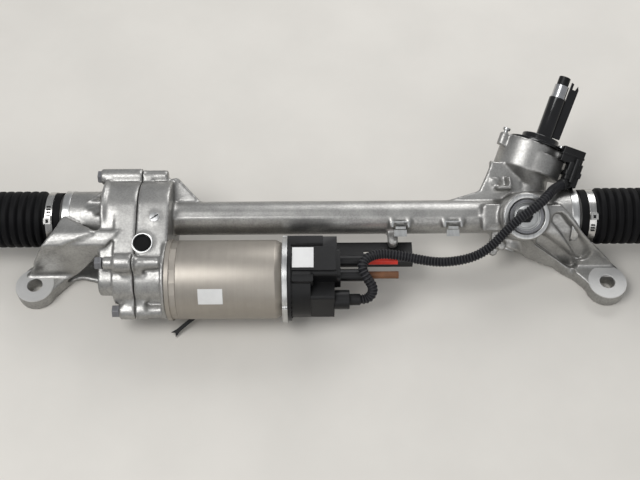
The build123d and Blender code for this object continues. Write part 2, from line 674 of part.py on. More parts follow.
# Sensor cap: a disc with screw ears and a raised ring round the shaft
with BuildPart() as sensor_cap:
    with BuildSketch(pinion_plane(DRUM_TOP)):
        with Locations((DRUM_OFFSET, 0)):
            Circle(DRUM_RADIUS + 0.5)
        with Locations(*CAP_SCREWS):
            Circle(CAP_BOSS)
    extrude(amount=CAP_THICKNESS)
    with BuildSketch(pinion_plane(DRUM_TOP + CAP_THICKNESS)):
        Circle(CAP_RING)
    extrude(amount=CAP_RING_HEIGHT)
    with BuildSketch(pinion_plane(DRUM_TOP + CAP_THICKNESS + 2)):
        Circle(CAP_RING - 2)
    extrude(amount=CAP_RING_HEIGHT, mode=Mode.SUBTRACT)
    with BuildSketch(pinion_plane(DRUM_TOP)):
        Circle(SHAFT_RADIUS + CLEARANCE)
        with Locations(*CAP_SCREWS):
            Circle(CAP_SCREW + CLEARANCE)
    extrude(amount=CAP_THICKNESS + CAP_RING_HEIGHT, mode=Mode.SUBTRACT)
save(sensor_cap, "sensor_cap")

with BuildPart() as cap_screws:
    with BuildSketch(pinion_plane(DRUM_TOP - 12)):
        with Locations(*CAP_SCREWS):
            Circle(CAP_SCREW)
    extrude(amount=12 + CAP_THICKNESS)
    with BuildSketch(pinion_plane(DRUM_TOP + CAP_THICKNESS)):
        with Locations(*CAP_SCREWS):
            Circle(CAP_SCREW + 2)
    extrude(amount=3)
save(cap_screws, "cap_screws")

# Shaft guard: a sleeve on the shaft with a flat locating flag along one side
with BuildPart() as shaft_guard:
    with BuildSketch(pinion_plane(GUARD_BOTTOM)):
        Circle(GUARD_RADIUS)
    extrude(amount=GUARD_TOP - GUARD_BOTTOM)
    with BuildSketch(FLAG_PLANE.offset(-1.5)):
        Polygon((0, GUARD_BOTTOM), (19, GUARD_BOTTOM), (22, GUARD_TOP - 30), (19, SHAFT_TOP + 6), (14, SHAFT_TOP + 6),
                (14, SHAFT_TOP - 4), (11, SHAFT_TOP - 6), (11, GUARD_TOP - 4), (0, GUARD_TOP - 4), align=None)
        with Locations((15.5, GUARD_TOP + 2)):
            Circle(2.6, mode=Mode.SUBTRACT)
    extrude(amount=3)
    with BuildSketch(pinion_plane(GUARD_BOTTOM)):
        Circle(SHAFT_RADIUS)
    extrude(amount=GUARD_TOP, mode=Mode.SUBTRACT)
save(shaft_guard, "shaft_guard")

# Yoke, pressed on the back of the rack by a spring under a screwed plug
with BuildPart() as rack_yoke:
    with BuildSketch(yoke_plane(4)):
        Circle(YOKE_RADIUS - RUNNING)
    extrude(amount=20)
    with BuildSketch(across(PINION_X - 30)):
        Circle(RACK_RADIUS + RUNNING)
    extrude(amount=60, mode=Mode.SUBTRACT)
save(rack_yoke, "rack_yoke")
turned_on(YOKE_BASE, "yoke_spring", (24, YOKE_THREAD_START + 1, 11, 8))

with BuildPart() as yoke_plug:
    with BuildSketch(yoke_plane(YOKE_THREAD_START + 1)):
        Circle(YOKE_THREAD)
    extrude(amount=YOKE_PLUG_TOP - YOKE_THREAD_START - 1)
    with BuildSketch(yoke_plane(YOKE_PLUG_TOP - 2)):
        Circle(15.5)
        Circle(13, mode=Mode.SUBTRACT)
    extrude(amount=3, mode=Mode.SUBTRACT)
    with BuildSketch(yoke_plane(YOKE_PLUG_TOP - 8)):
        RegularPolygon(7.5, 6)
    extrude(amount=9, mode=Mode.SUBTRACT)
save(yoke_plug, "yoke_plug")
turned_on(YOKE_BASE, "yoke_lock_ring",
          (YOKE_BOSS_HEIGHT, YOKE_BOSS_HEIGHT + YOKE_RING_THICKNESS, YOKE_RING_RADIUS, YOKE_THREAD + RUNNING))

# Ball nut, its bearing and the belt drive
turned_on(RACK_BASE, "ball_nut", (NUT_LEFT, NUT_RIGHT, NUT_RADIUS, RACK_RADIUS + RUNNING))
turned_on(RACK_BASE, "nut_bearing", (NUT_LEFT + 6, NUT_LEFT + 26, BEARING_SEAT, NUT_RADIUS + RUNNING))
turned_on(RACK_BASE, "nut_pulley", (PULLEY_LEFT, NUT_RIGHT, NUT_PULLEY, NUT_RADIUS))
turned_on(RACK_BASE, "rack_bush", (-STOP_WALL, CASE_LEFT + WALL, BUSH_RADIUS, RACK_RADIUS + RUNNING))
turned_on(RACK_BASE, "end_dampers",
          (-DAMPER_FACE, -STOP_WALL, NECK_BORE, RACK_RADIUS + 1.5),
          (STOP_WALL, DAMPER_FACE, NECK_BORE, RACK_RADIUS + 1.5))

with BuildPart() as drive_belt:
    belt_case(PULLEY_LEFT + 1, NUT_RIGHT - 1, NUT_PULLEY + RUNNING + BELT_THICKNESS,
              MOTOR_PULLEY + RUNNING + BELT_THICKNESS)
    belt_case(PULLEY_LEFT, NUT_RIGHT, NUT_PULLEY + RUNNING, MOTOR_PULLEY + RUNNING, Mode.SUBTRACT)
save(drive_belt, "drive_belt")

turned_on(MOTOR_BASE, "motor_pulley", (PULLEY_LEFT, NUT_RIGHT, MOTOR_PULLEY, MOTOR_SHAFT))
turned_on(MOTOR_BASE, "rotor_shaft", (PULLEY_LEFT - 2, MOTOR_RIGHT - 4, MOTOR_SHAFT, 0))
turned_on(MOTOR_BASE, "rotor_magnets", (STATOR_LEFT - 2, STATOR_RIGHT + 2, ROTOR_RADIUS, MOTOR_SHAFT))
turned_on(MOTOR_BASE, "stator", (STATOR_LEFT, STATOR_RIGHT, MOTOR_RADIUS - MOTOR_WALL, ROTOR_RADIUS + AIR_GAP))
turned_on(MOTOR_BASE, "stator_windings",
          (STATOR_LEFT - WINDING_LENGTH, STATOR_LEFT, WINDING_RADIUS, WINDING_BORE),
          (STATOR_RIGHT, STATOR_RIGHT + WINDING_LENGTH, WINDING_RADIUS, WINDING_BORE))
turned_on(MOTOR_BASE, "motor_bearings",
          (MOTOR_FACE + 2, MOTOR_LEFT - 2, 15, MOTOR_SHAFT + RUNNING),
          (MOTOR_RIGHT - 12, MOTOR_RIGHT - 5, 15, MOTOR_SHAFT + RUNNING))

with BuildPart() as motor_flange:
    with BuildSketch(across(MOTOR_FACE, MOTOR_Y, MOTOR_Z)):
        Circle(MOTOR_RADIUS + 1.5)
    extrude(amount=5)
    with BuildSketch(across(MOTOR_FACE + 5, MOTOR_Y, MOTOR_Z)):
        RegularPolygon(MOTOR_RADIUS, FACET_COUNT)
    extrude(amount=MOTOR_LEFT - MOTOR_FACE - 5)
    with BuildSketch(across(MOTOR_FACE, MOTOR_Y, MOTOR_Z)):
        Circle(15)
    extrude(amount=MOTOR_LEFT - MOTOR_FACE, mode=Mode.SUBTRACT)
save(motor_flange, "motor_flange")

with BuildPart() as motor_can:
    with BuildSketch(across(MOTOR_LEFT, MOTOR_Y, MOTOR_Z)):
        Circle(MOTOR_RADIUS)
    extrude(amount=MOTOR_RIGHT - MOTOR_LEFT)
    with BuildSketch(across(MOTOR_LEFT, MOTOR_Y, MOTOR_Z)):
        Circle(MOTOR_RADIUS - MOTOR_WALL)
    extrude(amount=MOTOR_RIGHT - MOTOR_LEFT - 14, mode=Mode.SUBTRACT)
    with BuildSketch(across(MOTOR_RIGHT - 15, MOTOR_Y, MOTOR_Z)):
        Circle(15)
    extrude(amount=16, mode=Mode.SUBTRACT)
save(motor_can, "motor_can")


# Electronics: aluminium ring, stepped plastic cover and the board inside
with BuildPart() as ecu_ring:
    with BuildSketch(across(MOTOR_RIGHT, MOTOR_Y, MOTOR_Z)):
        Circle(RING_RADIUS)
        Circle(30, mode=Mode.SUBTRACT)
    extrude(amount=RING_LENGTH)
    with BuildSketch(across(MOTOR_RIGHT, MOTOR_Y, MOTOR_Z)):
        with PolarLocations(RING_RADIUS, 3, start_angle=160):
            Circle(3)
    extrude(amount=RING_LENGTH, mode=Mode.SUBTRACT)
save(ecu_ring, "ecu_ring")

with BuildPart() as ecu_cover:
    with BuildSketch(across(ECU_LEFT, MOTOR_Y, MOTOR_Z)):
        Circle(RING_RADIUS - 2)
    extrude(amount=ECU_FLANGE)
    with BuildSketch(across(ECU_LEFT + ECU_FLANGE, MOTOR_Y, MOTOR_Z)):
        Circle(RING_RADIUS - 6)
    extrude(amount=22)
    with BuildSketch(across(ECU_LEFT, MOTOR_Y, MOTOR_Z)):
        with Locations((8, 24)):
            RectangleRounded(52, 34, 5)
    extrude(amount=ECU_RIGHT - ECU_LEFT)
    with BuildSketch(across(ECU_LEFT, MOTOR_Y, MOTOR_Z)):
        with Locations((-26, 0)):
            RectangleRounded(26, 46, 4)
    extrude(amount=ECU_RIGHT - ECU_LEFT - 3)
    with BuildSketch(across(ECU_LEFT, MOTOR_Y, MOTOR_Z)):
        with Locations((26, 34)):
            RectangleRounded(14, 18, 3)
    extrude(amount=40)
    with BuildSketch(across(ECU_LEFT, MOTOR_Y, MOTOR_Z)):
        Circle(RING_RADIUS - 10)
    extrude(amount=20, mode=Mode.SUBTRACT)
save(ecu_cover, "ecu_cover")

with BuildPart() as circuit_board:
    with BuildSketch(across(ECU_LEFT + 6, MOTOR_Y, MOTOR_Z)):
        Circle(RING_RADIUS - 10.3)
    extrude(amount=1.6)
    with BuildSketch(across(ECU_LEFT + 7.6, MOTOR_Y, MOTOR_Z)):
        with GridLocations(20, 18, 3, 3):
            Rectangle(9, 7)
    extrude(amount=4)
save(circuit_board, "circuit_board")

# Power connector: a base plate and two sleeves, each with its own cable
with BuildPart() as power_connector:
    with BuildSketch(across(ECU_RIGHT, MOTOR_Y, MOTOR_Z)):
        with Locations((5, POWER_DZ)):
            RectangleRounded(44, 22, 6)
    extrude(amount=4)
    with BuildSketch(across(ECU_RIGHT + 4, MOTOR_Y, MOTOR_Z)):
        with Locations(*POWER_SLEEVES):
            Circle(SLEEVE_RADIUS)
    extrude(amount=SLEEVE_LENGTH)
save(power_connector, "power_connector")
for name, (y, z) in zip(("power_cable_red", "power_cable_brown"), POWER_SLEEVES):
    turned_on(across(ECU_RIGHT + 4 + SLEEVE_LENGTH, MOTOR_Y + y, MOTOR_Z + z), name, (0, 36, CABLE_RADIUS, 0))

# Cable tray: a slotted channel between the cover and the cast post
with BuildPart() as cable_tray:
    with BuildSketch(Plane(origin=(0, RACK_Y, RACK_Z + TRAY_DZ), z_dir=(0, 0, 1))):
        with Locations((TRAY_LEFT + TRAY_LENGTH / 2, TRAY_DY)):
            Rectangle(TRAY_LENGTH, TRAY_WIDTH)
            with GridLocations(38, 0, 3, 1):
                SlotOverall(10, 4, mode=Mode.SUBTRACT)
    extrude(amount=-2.5)
    with BuildSketch(Plane(origin=(0, RACK_Y, RACK_Z + TRAY_DZ - 2.5), z_dir=(0, 0, 1))):
        with Locations((TRAY_LEFT + TRAY_LENGTH / 2, TRAY_DY)):
            Rectangle(TRAY_LENGTH, TRAY_WIDTH)
            Rectangle(TRAY_LENGTH - 4, TRAY_WIDTH - 4, mode=Mode.SUBTRACT)
    extrude(amount=-8)
save(cable_tray, "cable_tray")

# Signal plug on the cover, the corrugated lead and the sensor's own connector
turned_on(across(ECU_RIGHT - 3, MOTOR_Y + PLUG_DY, MOTOR_Z + PLUG_DZ), "signal_plug", (0, 17, 11, 0))
turned_on(across(ECU_RIGHT + 14, MOTOR_Y + PLUG_DY, MOTOR_Z + PLUG_DZ), "plug_boot", (0, PLUG_BOOT, 6.5, 0))

with BuildPart() as sensor_connector:
    with BuildSketch(SENSOR_PLANE):
        RectangleRounded(20, 24, 3)
    extrude(amount=DRUM_TOP - DRUM_BASE)
    with BuildSketch(Plane(origin=SENSOR_BODY + PINION_LINE * 4, z_dir=SENSOR_OUTLET)):
        Circle(CONDUIT_RADIUS + 1.5)
    extrude(amount=OUTLET_LENGTH)
save(sensor_connector, "sensor_connector")

conduit_points = [(x, y + RACK_Y, z + RACK_Z) for x, y, z in CONDUIT_ROUTE]
conduit_points += [tuple(conduit_turn), tuple(conduit_end)]
corner_radii = []
for before, corner, after in zip(conduit_points, conduit_points[1:], conduit_points[2:]):
    arriving = Vector(corner) - Vector(before)
    leaving = Vector(after) - Vector(corner)
    shorter = min(arriving.length, leaving.length)
    corner_radii.append(0.45 * shorter / tan(radians(arriving.get_angle(leaving)) / 2))
print("conduit radii", [round(r, 1) for r in corner_radii])
with BuildPart() as sensor_conduit:
    with BuildLine() as conduit_path:
        FilletPolyline(*conduit_points, radius=corner_radii)
    with BuildSketch(Plane(conduit_path.line @ 0, z_dir=conduit_path.line % 0)):
        Circle(CONDUIT_RADIUS)
    sweep()
conduit_length = sum(edge.length for edge in conduit_path.edges())
print("conduit length", round(conduit_length, 1), "volume ratio",
      round(sensor_conduit.part.volume / (conduit_length * pi * CONDUIT_RADIUS**2), 4))
save(sensor_conduit, "sensor_conduit")

# Inner ball joints and tie rods, a mirrored pair
for side, name in ((-1, "left"), (1, "right")):
    with BuildPart() as socket:
        with BuildSketch(CAST):
            with BuildLine():
                Polyline((side * (JOINT_X - CUP_RADIUS), 0), (side * (RACK_END + 2 - STUD_LENGTH), 0),
                         (side * (RACK_END + 2 - STUD_LENGTH), STUD_RADIUS), (side * RACK_END, STUD_RADIUS),
                         (side * RACK_END, SOCKET_RADIUS - 5), (side * (RACK_END + 6), SOCKET_RADIUS - 5),
                         (side * (RACK_END + 10), SOCKET_RADIUS),
                         (side * (JOINT_X + SOCKET_MOUTH - 4), SOCKET_RADIUS),
                         (side * (JOINT_X + SOCKET_MOUTH), SOCKET_RADIUS - 4),
                         (side * (JOINT_X + SOCKET_MOUTH), MOUTH_RADIUS))
                ThreePointArc((side * (JOINT_X + SOCKET_MOUTH), MOUTH_RADIUS), (side * JOINT_X, CUP_RADIUS),
                              (side * (JOINT_X - CUP_RADIUS), 0))
            make_face()
        revolve(axis=RACK_AXIS)
    save(socket, "inner_joint_" + name)

    with BuildPart() as tie_rod:
        with BuildSketch(CAST):
            with BuildLine():
                Polyline((side * (JOINT_X - BALL_RADIUS), 0), (side * TIE_ROD_END, 0),
                         (side * TIE_ROD_END, THREAD_RADIUS - 1), (side * (TIE_ROD_END - 1), THREAD_RADIUS),
                         (side * THREAD_START, THREAD_RADIUS), (side * THREAD_START, THREAD_RELIEF),
                         (side * (THREAD_START - LOCK_NUT_WIDTH), THREAD_RELIEF),
                         (side * (THREAD_START - LOCK_NUT_WIDTH), TIE_ROD_RADIUS),
                         (side * (JOINT_X + 36), TIE_ROD_RADIUS), (side * (JOINT_X + 30), ROD_NECK),
                         (side * (JOINT_X + BALL_EDGE), ROD_NECK))
                ThreePointArc((side * (JOINT_X + BALL_EDGE), ROD_NECK), (side * JOINT_X, BALL_RADIUS),
                              (side * (JOINT_X - BALL_RADIUS), 0))
            make_face()
        revolve(axis=RACK_AXIS)
    save(tie_rod, "tie_rod_" + name)

    with BuildPart() as lock_nut:
        with BuildSketch(across(side * THREAD_START)):
            RegularPolygon(12.7, 6)
            Circle(THREAD_RADIUS, mode=Mode.SUBTRACT)
        extrude(amount=-side * LOCK_NUT_WIDTH)
    save(lock_nut, "lock_nut_" + name)

    folds = int((BELLOWS_END - TAPER_LENGTH - BELLOWS_FOLDS_START) / BELLOWS_PITCH)
    outside = [(BELLOWS_START, NECK_RADIUS - 1.5), (BELLOWS_FOLDS_START - 2, NECK_RADIUS - 1.5)]
    for fold in range(folds):
        x = BELLOWS_FOLDS_START + fold * BELLOWS_PITCH
        outside += [(x, BELLOWS_RADIUS - BELLOWS_DEPTH), (x + BELLOWS_PITCH / 2, BELLOWS_RADIUS)]
    cuff = BELLOWS_END - CUFF_LENGTH
    outside += [(cuff, CUFF_RADIUS), (BELLOWS_END, CUFF_RADIUS)]
    inside = [(BELLOWS_END, TIE_ROD_RADIUS + CLEARANCE), (cuff + 2, TIE_ROD_RADIUS + CLEARANCE),
              (cuff - TAPER_LENGTH, BELLOWS_RADIUS - BELLOWS_DEPTH - BELLOWS_WALL),
              (SPIGOT_END + 2, BELLOWS_RADIUS - BELLOWS_DEPTH - BELLOWS_WALL),
              (SPIGOT_END + 1, SPIGOT_RADIUS), (BELLOWS_START, SPIGOT_RADIUS)]
    bellows = turned(CAST, [(side * x, r) for x, r in outside + inside])
    save(bellows, "bellows_" + name)

    small_clamp = turned(CAST, [(side * x, r) for x, r in (
        (BELLOWS_END - 8, CUFF_RADIUS + CLEARANCE), (BELLOWS_END - 8, CUFF_RADIUS + 1.5),
        (BELLOWS_END - 2, CUFF_RADIUS + 1.5), (BELLOWS_END - 2, CUFF_RADIUS + CLEARANCE))])
    save(small_clamp, "small_clamp_" + name)

# Large bellows clamps: a band with a crimped ear on the side that faces the yoke plug
with BuildPart() as large_clamps:
    for side in (-1, 1):
        with BuildSketch(CAST):
            Polygon((side * CLAMP_START, NECK_RADIUS - 1.5), (side * CLAMP_START, NECK_RADIUS - 0.7),
                    (side * (CLAMP_START + CLAMP_WIDTH), NECK_RADIUS - 0.7),
                    (side * (CLAMP_START + CLAMP_WIDTH), NECK_RADIUS - 1.5), align=None)
        revolve(axis=RACK_AXIS)
        with BuildSketch(yoke_plane(NECK_RADIUS - 1)):
            with Locations((side * (CLAMP_START + CLAMP_WIDTH / 2) - PINION_X, 0)):
                Rectangle(CLAMP_WIDTH - 1, 9)
        extrude(amount=4)
save(large_clamps, "large_clamps")

# Case bolts: hexagon heads on the left, shanks through the cover into the main housing
with BuildPart() as case_bolts:
    for (y, z), left, right in zip(CASE_BOLTS, CASE_BOLT_LEFT, CASE_BOLT_RIGHT):
        with BuildSketch(across(left)):
            with Locations((y, z)):
                RegularPolygon(BOLT_HEAD, 6)
        extrude(amount=-BOLT_HEAD_HEIGHT)
        with BuildSketch(across(left)):
            with Locations((y, z)):
                Circle(BOLT_RADIUS)
        extrude(amount=right - left - 3)
save(case_bolts, "case_bolts")
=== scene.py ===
import json
from math import cos, pi, radians, sin

import bmesh
import bpy
import numpy as np
from mathutils import Matrix, Vector


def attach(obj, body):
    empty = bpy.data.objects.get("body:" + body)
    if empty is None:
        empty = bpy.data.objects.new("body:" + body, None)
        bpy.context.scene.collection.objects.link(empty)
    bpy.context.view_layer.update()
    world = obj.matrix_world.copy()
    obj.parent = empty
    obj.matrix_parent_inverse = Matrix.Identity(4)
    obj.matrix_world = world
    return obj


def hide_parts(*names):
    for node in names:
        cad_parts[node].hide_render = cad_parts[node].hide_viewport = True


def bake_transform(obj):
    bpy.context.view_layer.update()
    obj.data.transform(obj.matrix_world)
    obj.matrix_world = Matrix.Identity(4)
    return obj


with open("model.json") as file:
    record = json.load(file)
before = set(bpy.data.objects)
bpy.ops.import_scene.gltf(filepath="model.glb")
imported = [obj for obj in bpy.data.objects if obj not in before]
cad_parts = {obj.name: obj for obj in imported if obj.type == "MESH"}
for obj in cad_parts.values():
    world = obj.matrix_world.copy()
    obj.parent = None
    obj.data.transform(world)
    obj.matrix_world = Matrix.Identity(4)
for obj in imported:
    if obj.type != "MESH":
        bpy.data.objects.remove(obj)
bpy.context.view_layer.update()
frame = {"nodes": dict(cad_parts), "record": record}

bl_info = {
    "name": "Steering rack",
    "version": (1, 0, 0),
    "blender": (4, 5, 0),
    "location": "3D View > Sidebar > Steering rack",
    "description": "Dresses the steering rack with castings, bellows, motor, leads and finishes",
    "category": "Object",
}

NODES = frame["nodes"]
SLOTS = {part["node"]: part["material_slot"] for part in frame["record"]["subparts"]}
BODY_NODES = frame["record"]["behaviour"]["bodies"]

# Lines of the part, in metres: the rack runs along X, the pinion leans up and to the rear
RACK_LINE = np.array((0.0, 0.070, 0.036))
MOTOR_LINE = np.array((0.0, -0.0127, 0.031))
PINION_FOOT = np.array((0.237, 0.080828, 0.020536))
PINION_UP = np.array((0.34202, 0.76976, 0.53899))
PINION_SIDE = np.array((0.93969, -0.28017, -0.19617))
YOKE_UP = np.array((0.0, -0.57358, 0.81915))
TOOTH_LINE = np.array((0.0, 0.81915, 0.57358))
CASE_UP = np.array((0.0, -0.26391, 0.96455))
CASE_ACROSS = np.array((0.0, 0.96455, 0.26391))
YOKE_FOOT = np.array((0.237, 0.070, 0.036))

# Frames for turned and extruded pieces: origin, then the directions of the piece's own x, y and z
ALONG_RACK = (RACK_LINE, (1, 0, 0), (0, 1, 0), (0, 0, 1))
ALONG_MOTOR = (MOTOR_LINE, (1, 0, 0), (0, 1, 0), (0, 0, 1))
ALONG_PINION = (PINION_FOOT, PINION_UP, PINION_SIDE, -YOKE_UP)
ALONG_YOKE = (YOKE_FOOT, YOKE_UP, (1, 0, 0), TOOTH_LINE)
SEEN = (RACK_LINE, YOKE_UP, (1, 0, 0), TOOTH_LINE)
UPRIGHT = (RACK_LINE, (0, 0, 1), (1, 0, 0), (0, 1, 0))
ON_CASE = (RACK_LINE, CASE_UP, (1, 0, 0), CASE_ACROSS)
AROUND_MOTOR = (MOTOR_LINE, (1, 0, 0), YOKE_UP, TOOTH_LINE)
OVER_MOTOR = (MOTOR_LINE, (0, 0, 1), (1, 0, 0), (0, 1, 0))

SIDES = ((-1, "left"), (1, "right"))
# The middle of each arm's bore, along the rack
PAD_X = 0.341
# The sensor drum sits this much lower and further left than its solid
DRUM_DROP = 0.011
DRUM_LEFT = 0.004
DRUM_SHIFT = -DRUM_DROP * PINION_UP - DRUM_LEFT * PINION_SIDE

# Control points of the sensor conduit, from the cover's signal plug to the sensor's connector
CONDUIT_ROUTE = [
    (0.044, -0.0427, 0.035), (0.054, -0.0427, 0.035), (0.060, -0.036, 0.048), (0.050, -0.029, 0.062),
    (0.045, -0.018, 0.067), (0.051, -0.007, 0.067), (0.066, 0.001, 0.063), (0.087, 0.001, 0.060),
    (0.110, 0.000, 0.052), (0.135, -0.002, 0.048), (0.158, 0.000, 0.048), (0.178, 0.003, 0.053),
    (0.195, 0.010, 0.063), (0.210, 0.022, 0.075), (0.227, 0.034, 0.086), (0.245, 0.044, 0.092),
    (0.261, 0.060, 0.093), (0.27072, 0.07652, 0.08263), (0.28193, 0.08597, 0.07623),
]


class SteeringRackSizes(bpy.types.PropertyGroup):
    """Sizes of the dressed pieces that a user may change."""

    conduit_diameter: bpy.props.FloatProperty(
        name="Conduit diameter", description="Outer diameter of the corrugated sensor conduit",
        default=0.0116, min=0.006, max=0.014, subtype="DISTANCE", unit="LENGTH")
    conduit_rib: bpy.props.FloatProperty(
        name="Conduit rib pitch", description="Distance from one rib of the conduit to the next",
        default=0.0036, min=0.0015, max=0.006, subtype="DISTANCE", unit="LENGTH")
    fold_pitch: bpy.props.FloatProperty(
        name="Fold pitch", description="Distance from one fold of the bellows to the next",
        default=0.0098, min=0.006, max=0.016, subtype="DISTANCE", unit="LENGTH")
    fold_depth: bpy.props.FloatProperty(
        name="Fold depth", description="Height of a fold of the bellows",
        default=0.0028, min=0.001, max=0.006, subtype="DISTANCE", unit="LENGTH")
    cast_voxel: bpy.props.FloatProperty(
        name="Casting detail",
        description="Grid size that the casting's skin is rebuilt on before it is smoothed",
        default=0.00185, min=0.0012, max=0.004, subtype="DISTANCE", unit="LENGTH")
    cast_smoothing: bpy.props.IntProperty(
        name="Casting smoothing", description="Smoothing passes that round the casting's edges",
        default=5, min=0, max=20)


class SteeringRackColours(bpy.types.PropertyGroup):
    """Colours of the finishes that a user may change."""

    cast_light: bpy.props.FloatVectorProperty(
        name="Cast metal, light", description="Lighter grain of the cast aluminium",
        default=(0.42, 0.414, 0.398), subtype="COLOR", min=0, max=1)
    cast_dark: bpy.props.FloatVectorProperty(
        name="Cast metal, dark", description="Darker grain of the cast aluminium",
        default=(0.27, 0.266, 0.257), subtype="COLOR", min=0, max=1)
    rubber: bpy.props.FloatVectorProperty(
        name="Rubber", description="Bellows rubber",
        default=(0.0035, 0.0035, 0.004), subtype="COLOR", min=0, max=1)
    plastic: bpy.props.FloatVectorProperty(
        name="Black plastic", description="Moulded covers and connectors",
        default=(0.004, 0.004, 0.0045), subtype="COLOR", min=0, max=1)
    motor: bpy.props.FloatVectorProperty(
        name="Motor coat", description="Plated coat of the motor can",
        default=(0.37, 0.34, 0.30), subtype="COLOR", min=0, max=1)
    red_lead: bpy.props.FloatVectorProperty(
        name="Red lead", description="Insulation of the positive lead",
        default=(0.60, 0.032, 0.018), subtype="COLOR", min=0, max=1)
    brown_lead: bpy.props.FloatVectorProperty(
        name="Brown lead", description="Insulation of the negative lead",
        default=(0.16, 0.065, 0.025), subtype="COLOR", min=0, max=1)
    floor: bpy.props.FloatVectorProperty(
        name="Floor", description="Plain floor under the part",
        default=(0.64, 0.615, 0.57), subtype="COLOR", min=0, max=1)


# Building shaders

GROUPS = {}
MATERIALS = {}

PALE_DUST = (0.62, 0.60, 0.56, 1)
GREY_DUST = (0.42, 0.40, 0.37, 1)
DARK_FLECK = (0.12, 0.115, 0.11, 1)


def feed(tree, socket, value):
    """Link a socket to another one, or give it a plain value."""
    if isinstance(value, bpy.types.NodeSocket):
        tree.links.new(value, socket)
    else:
        socket.default_value = value


def node(tree, kind, inputs=None, **settings):
    """Add a shader node, set its fields, then give or link its inputs."""
    made = tree.nodes.new(kind)
    for field, value in settings.items():
        setattr(made, field, value)
    for socket, value in (inputs or {}).items():
        feed(tree, made.inputs[socket], value)
    return made


def ramp(tree, factor, low, high):
    """A value that rises smoothly from 0 at low to 1 at high."""
    inputs = {"Value": factor, "From Min": low, "From Max": high}
    return node(tree, "ShaderNodeMapRange", inputs, interpolation_type="SMOOTHSTEP").outputs["Result"]


def mixed(tree, factor, first, second):
    """A colour between two colours."""
    return node(tree, "ShaderNodeMix", {0: factor, 6: first, 7: second}, data_type="RGBA").outputs[2]


def maths(tree, operation, first, second):
    """One arithmetic step on two values."""
    return node(tree, "ShaderNodeMath", {0: first, 1: second}, operation=operation).outputs[0]


def linear(tree, value, slope, start):
    """A value times a slope, plus a start."""
    return maths(tree, "ADD", maths(tree, "MULTIPLY", value, slope), start)


def weighted(tree, first, second, share):
    """A share of the first value and the rest of the second."""
    return linear(tree, first, share, maths(tree, "MULTIPLY", second, 1 - share))


def vector_step(tree, operation, inputs, output=0):
    """One step on vectors, read from the output that holds its result."""
    return node(tree, "ShaderNodeVectorMath", inputs, operation=operation).outputs[output]


def noise(tree, vector, scale, detail=4.0, roughness=0.55, dimensions="3D"):
    """A noise value on a vector, or on a single value for 1D."""
    key = "W" if dimensions == "1D" else "Vector"
    inputs = {key: vector, "Scale": scale, "Detail": detail, "Roughness": roughness}
    return node(tree, "ShaderNodeTexNoise", inputs, noise_dimensions=dimensions).outputs[0]


def shader_group(name, inputs, outputs):
    """A new shader node group with its sockets, and its input and output nodes."""
    group = bpy.data.node_groups.new(name, "ShaderNodeTree")
    for label, kind, value in inputs:
        socket = group.interface.new_socket(name=label, in_out="INPUT", socket_type=kind)
        if value is not None:
            socket.default_value = value
    for label, kind in outputs:
        group.interface.new_socket(name=label, in_out="OUTPUT", socket_type=kind)
    return group, group.nodes.new("NodeGroupInput").outputs, group.nodes.new("NodeGroupOutput").inputs


def cast_mottle_group():
    """Blasted casting skin: broad patches, a fine mottle and sparse dark flecks."""
    group, given, result = shader_group(
        "Cast mottle",
        [("Vector", "NodeSocketVector", None), ("Light", "NodeSocketColor", (0.6, 0.6, 0.6, 1)),
         ("Dark", "NodeSocketColor", (0.3, 0.3, 0.3, 1)), ("Scale", "NodeSocketFloat", 1.0)],
        [("Colour", "NodeSocketColor"), ("Roughness", "NodeSocketFloat"), ("Height", "NodeSocketFloat")])
    scaled = vector_step(group, "SCALE", {0: given["Vector"], "Scale": given["Scale"]})
    patches = ramp(group, noise(group, scaled, 38.0, 3.0), 0.36, 0.66)
    mottle = ramp(group, noise(group, scaled, 420.0, 5.0, 0.62), 0.36, 0.64)
    flecks = ramp(group, noise(group, scaled, 430.0, 2.0, 0.5), 0.69, 0.76)
    skin = mixed(group, weighted(group, patches, mottle, 0.55), given["Dark"], given["Light"])
    feed(group, result["Colour"], mixed(group, maths(group, "MULTIPLY", flecks, 0.5), skin, DARK_FLECK))
    feed(group, result["Roughness"], linear(group, mottle, -0.08, 0.43))
    feed(group, result["Height"], maths(group, "ADD", mottle, noise(group, scaled, 1500.0, 2.0)))
    return group


def lathe_lines_group():
    """Fine turned or drawn lines that change with one distance only."""
    group, given, result = shader_group(
        "Lathe lines",
        [("Distance", "NodeSocketFloat", 0.0), ("Scale", "NodeSocketFloat", 1.0)],
        [("Shade", "NodeSocketFloat"), ("Height", "NodeSocketFloat")])
    distance = maths(group, "MULTIPLY", given["Distance"], given["Scale"])
    fine = noise(group, distance, 2600.0, 2.0, 0.6, "1D")
    broad = noise(group, distance, 300.0, 2.0, 0.5, "1D")
    feed(group, result["Shade"], weighted(group, fine, broad, 0.6))
    feed(group, result["Height"], fine)
    return group


def fine_grain_group():
    """Moulded grain: a small even roughness of the surface and a slow change of gloss."""
    group, given, result = shader_group(
        "Fine grain",
        [("Vector", "NodeSocketVector", None), ("Scale", "NodeSocketFloat", 1.0)],
        [("Height", "NodeSocketFloat"), ("Gloss", "NodeSocketFloat")])
    scaled = vector_step(group, "SCALE", {0: given["Vector"], "Scale": given["Scale"]})
    feed(group, result["Height"], noise(group, scaled, 1900.0, 2.0))
    feed(group, result["Gloss"], noise(group, scaled, 55.0, 3.0))
    return group


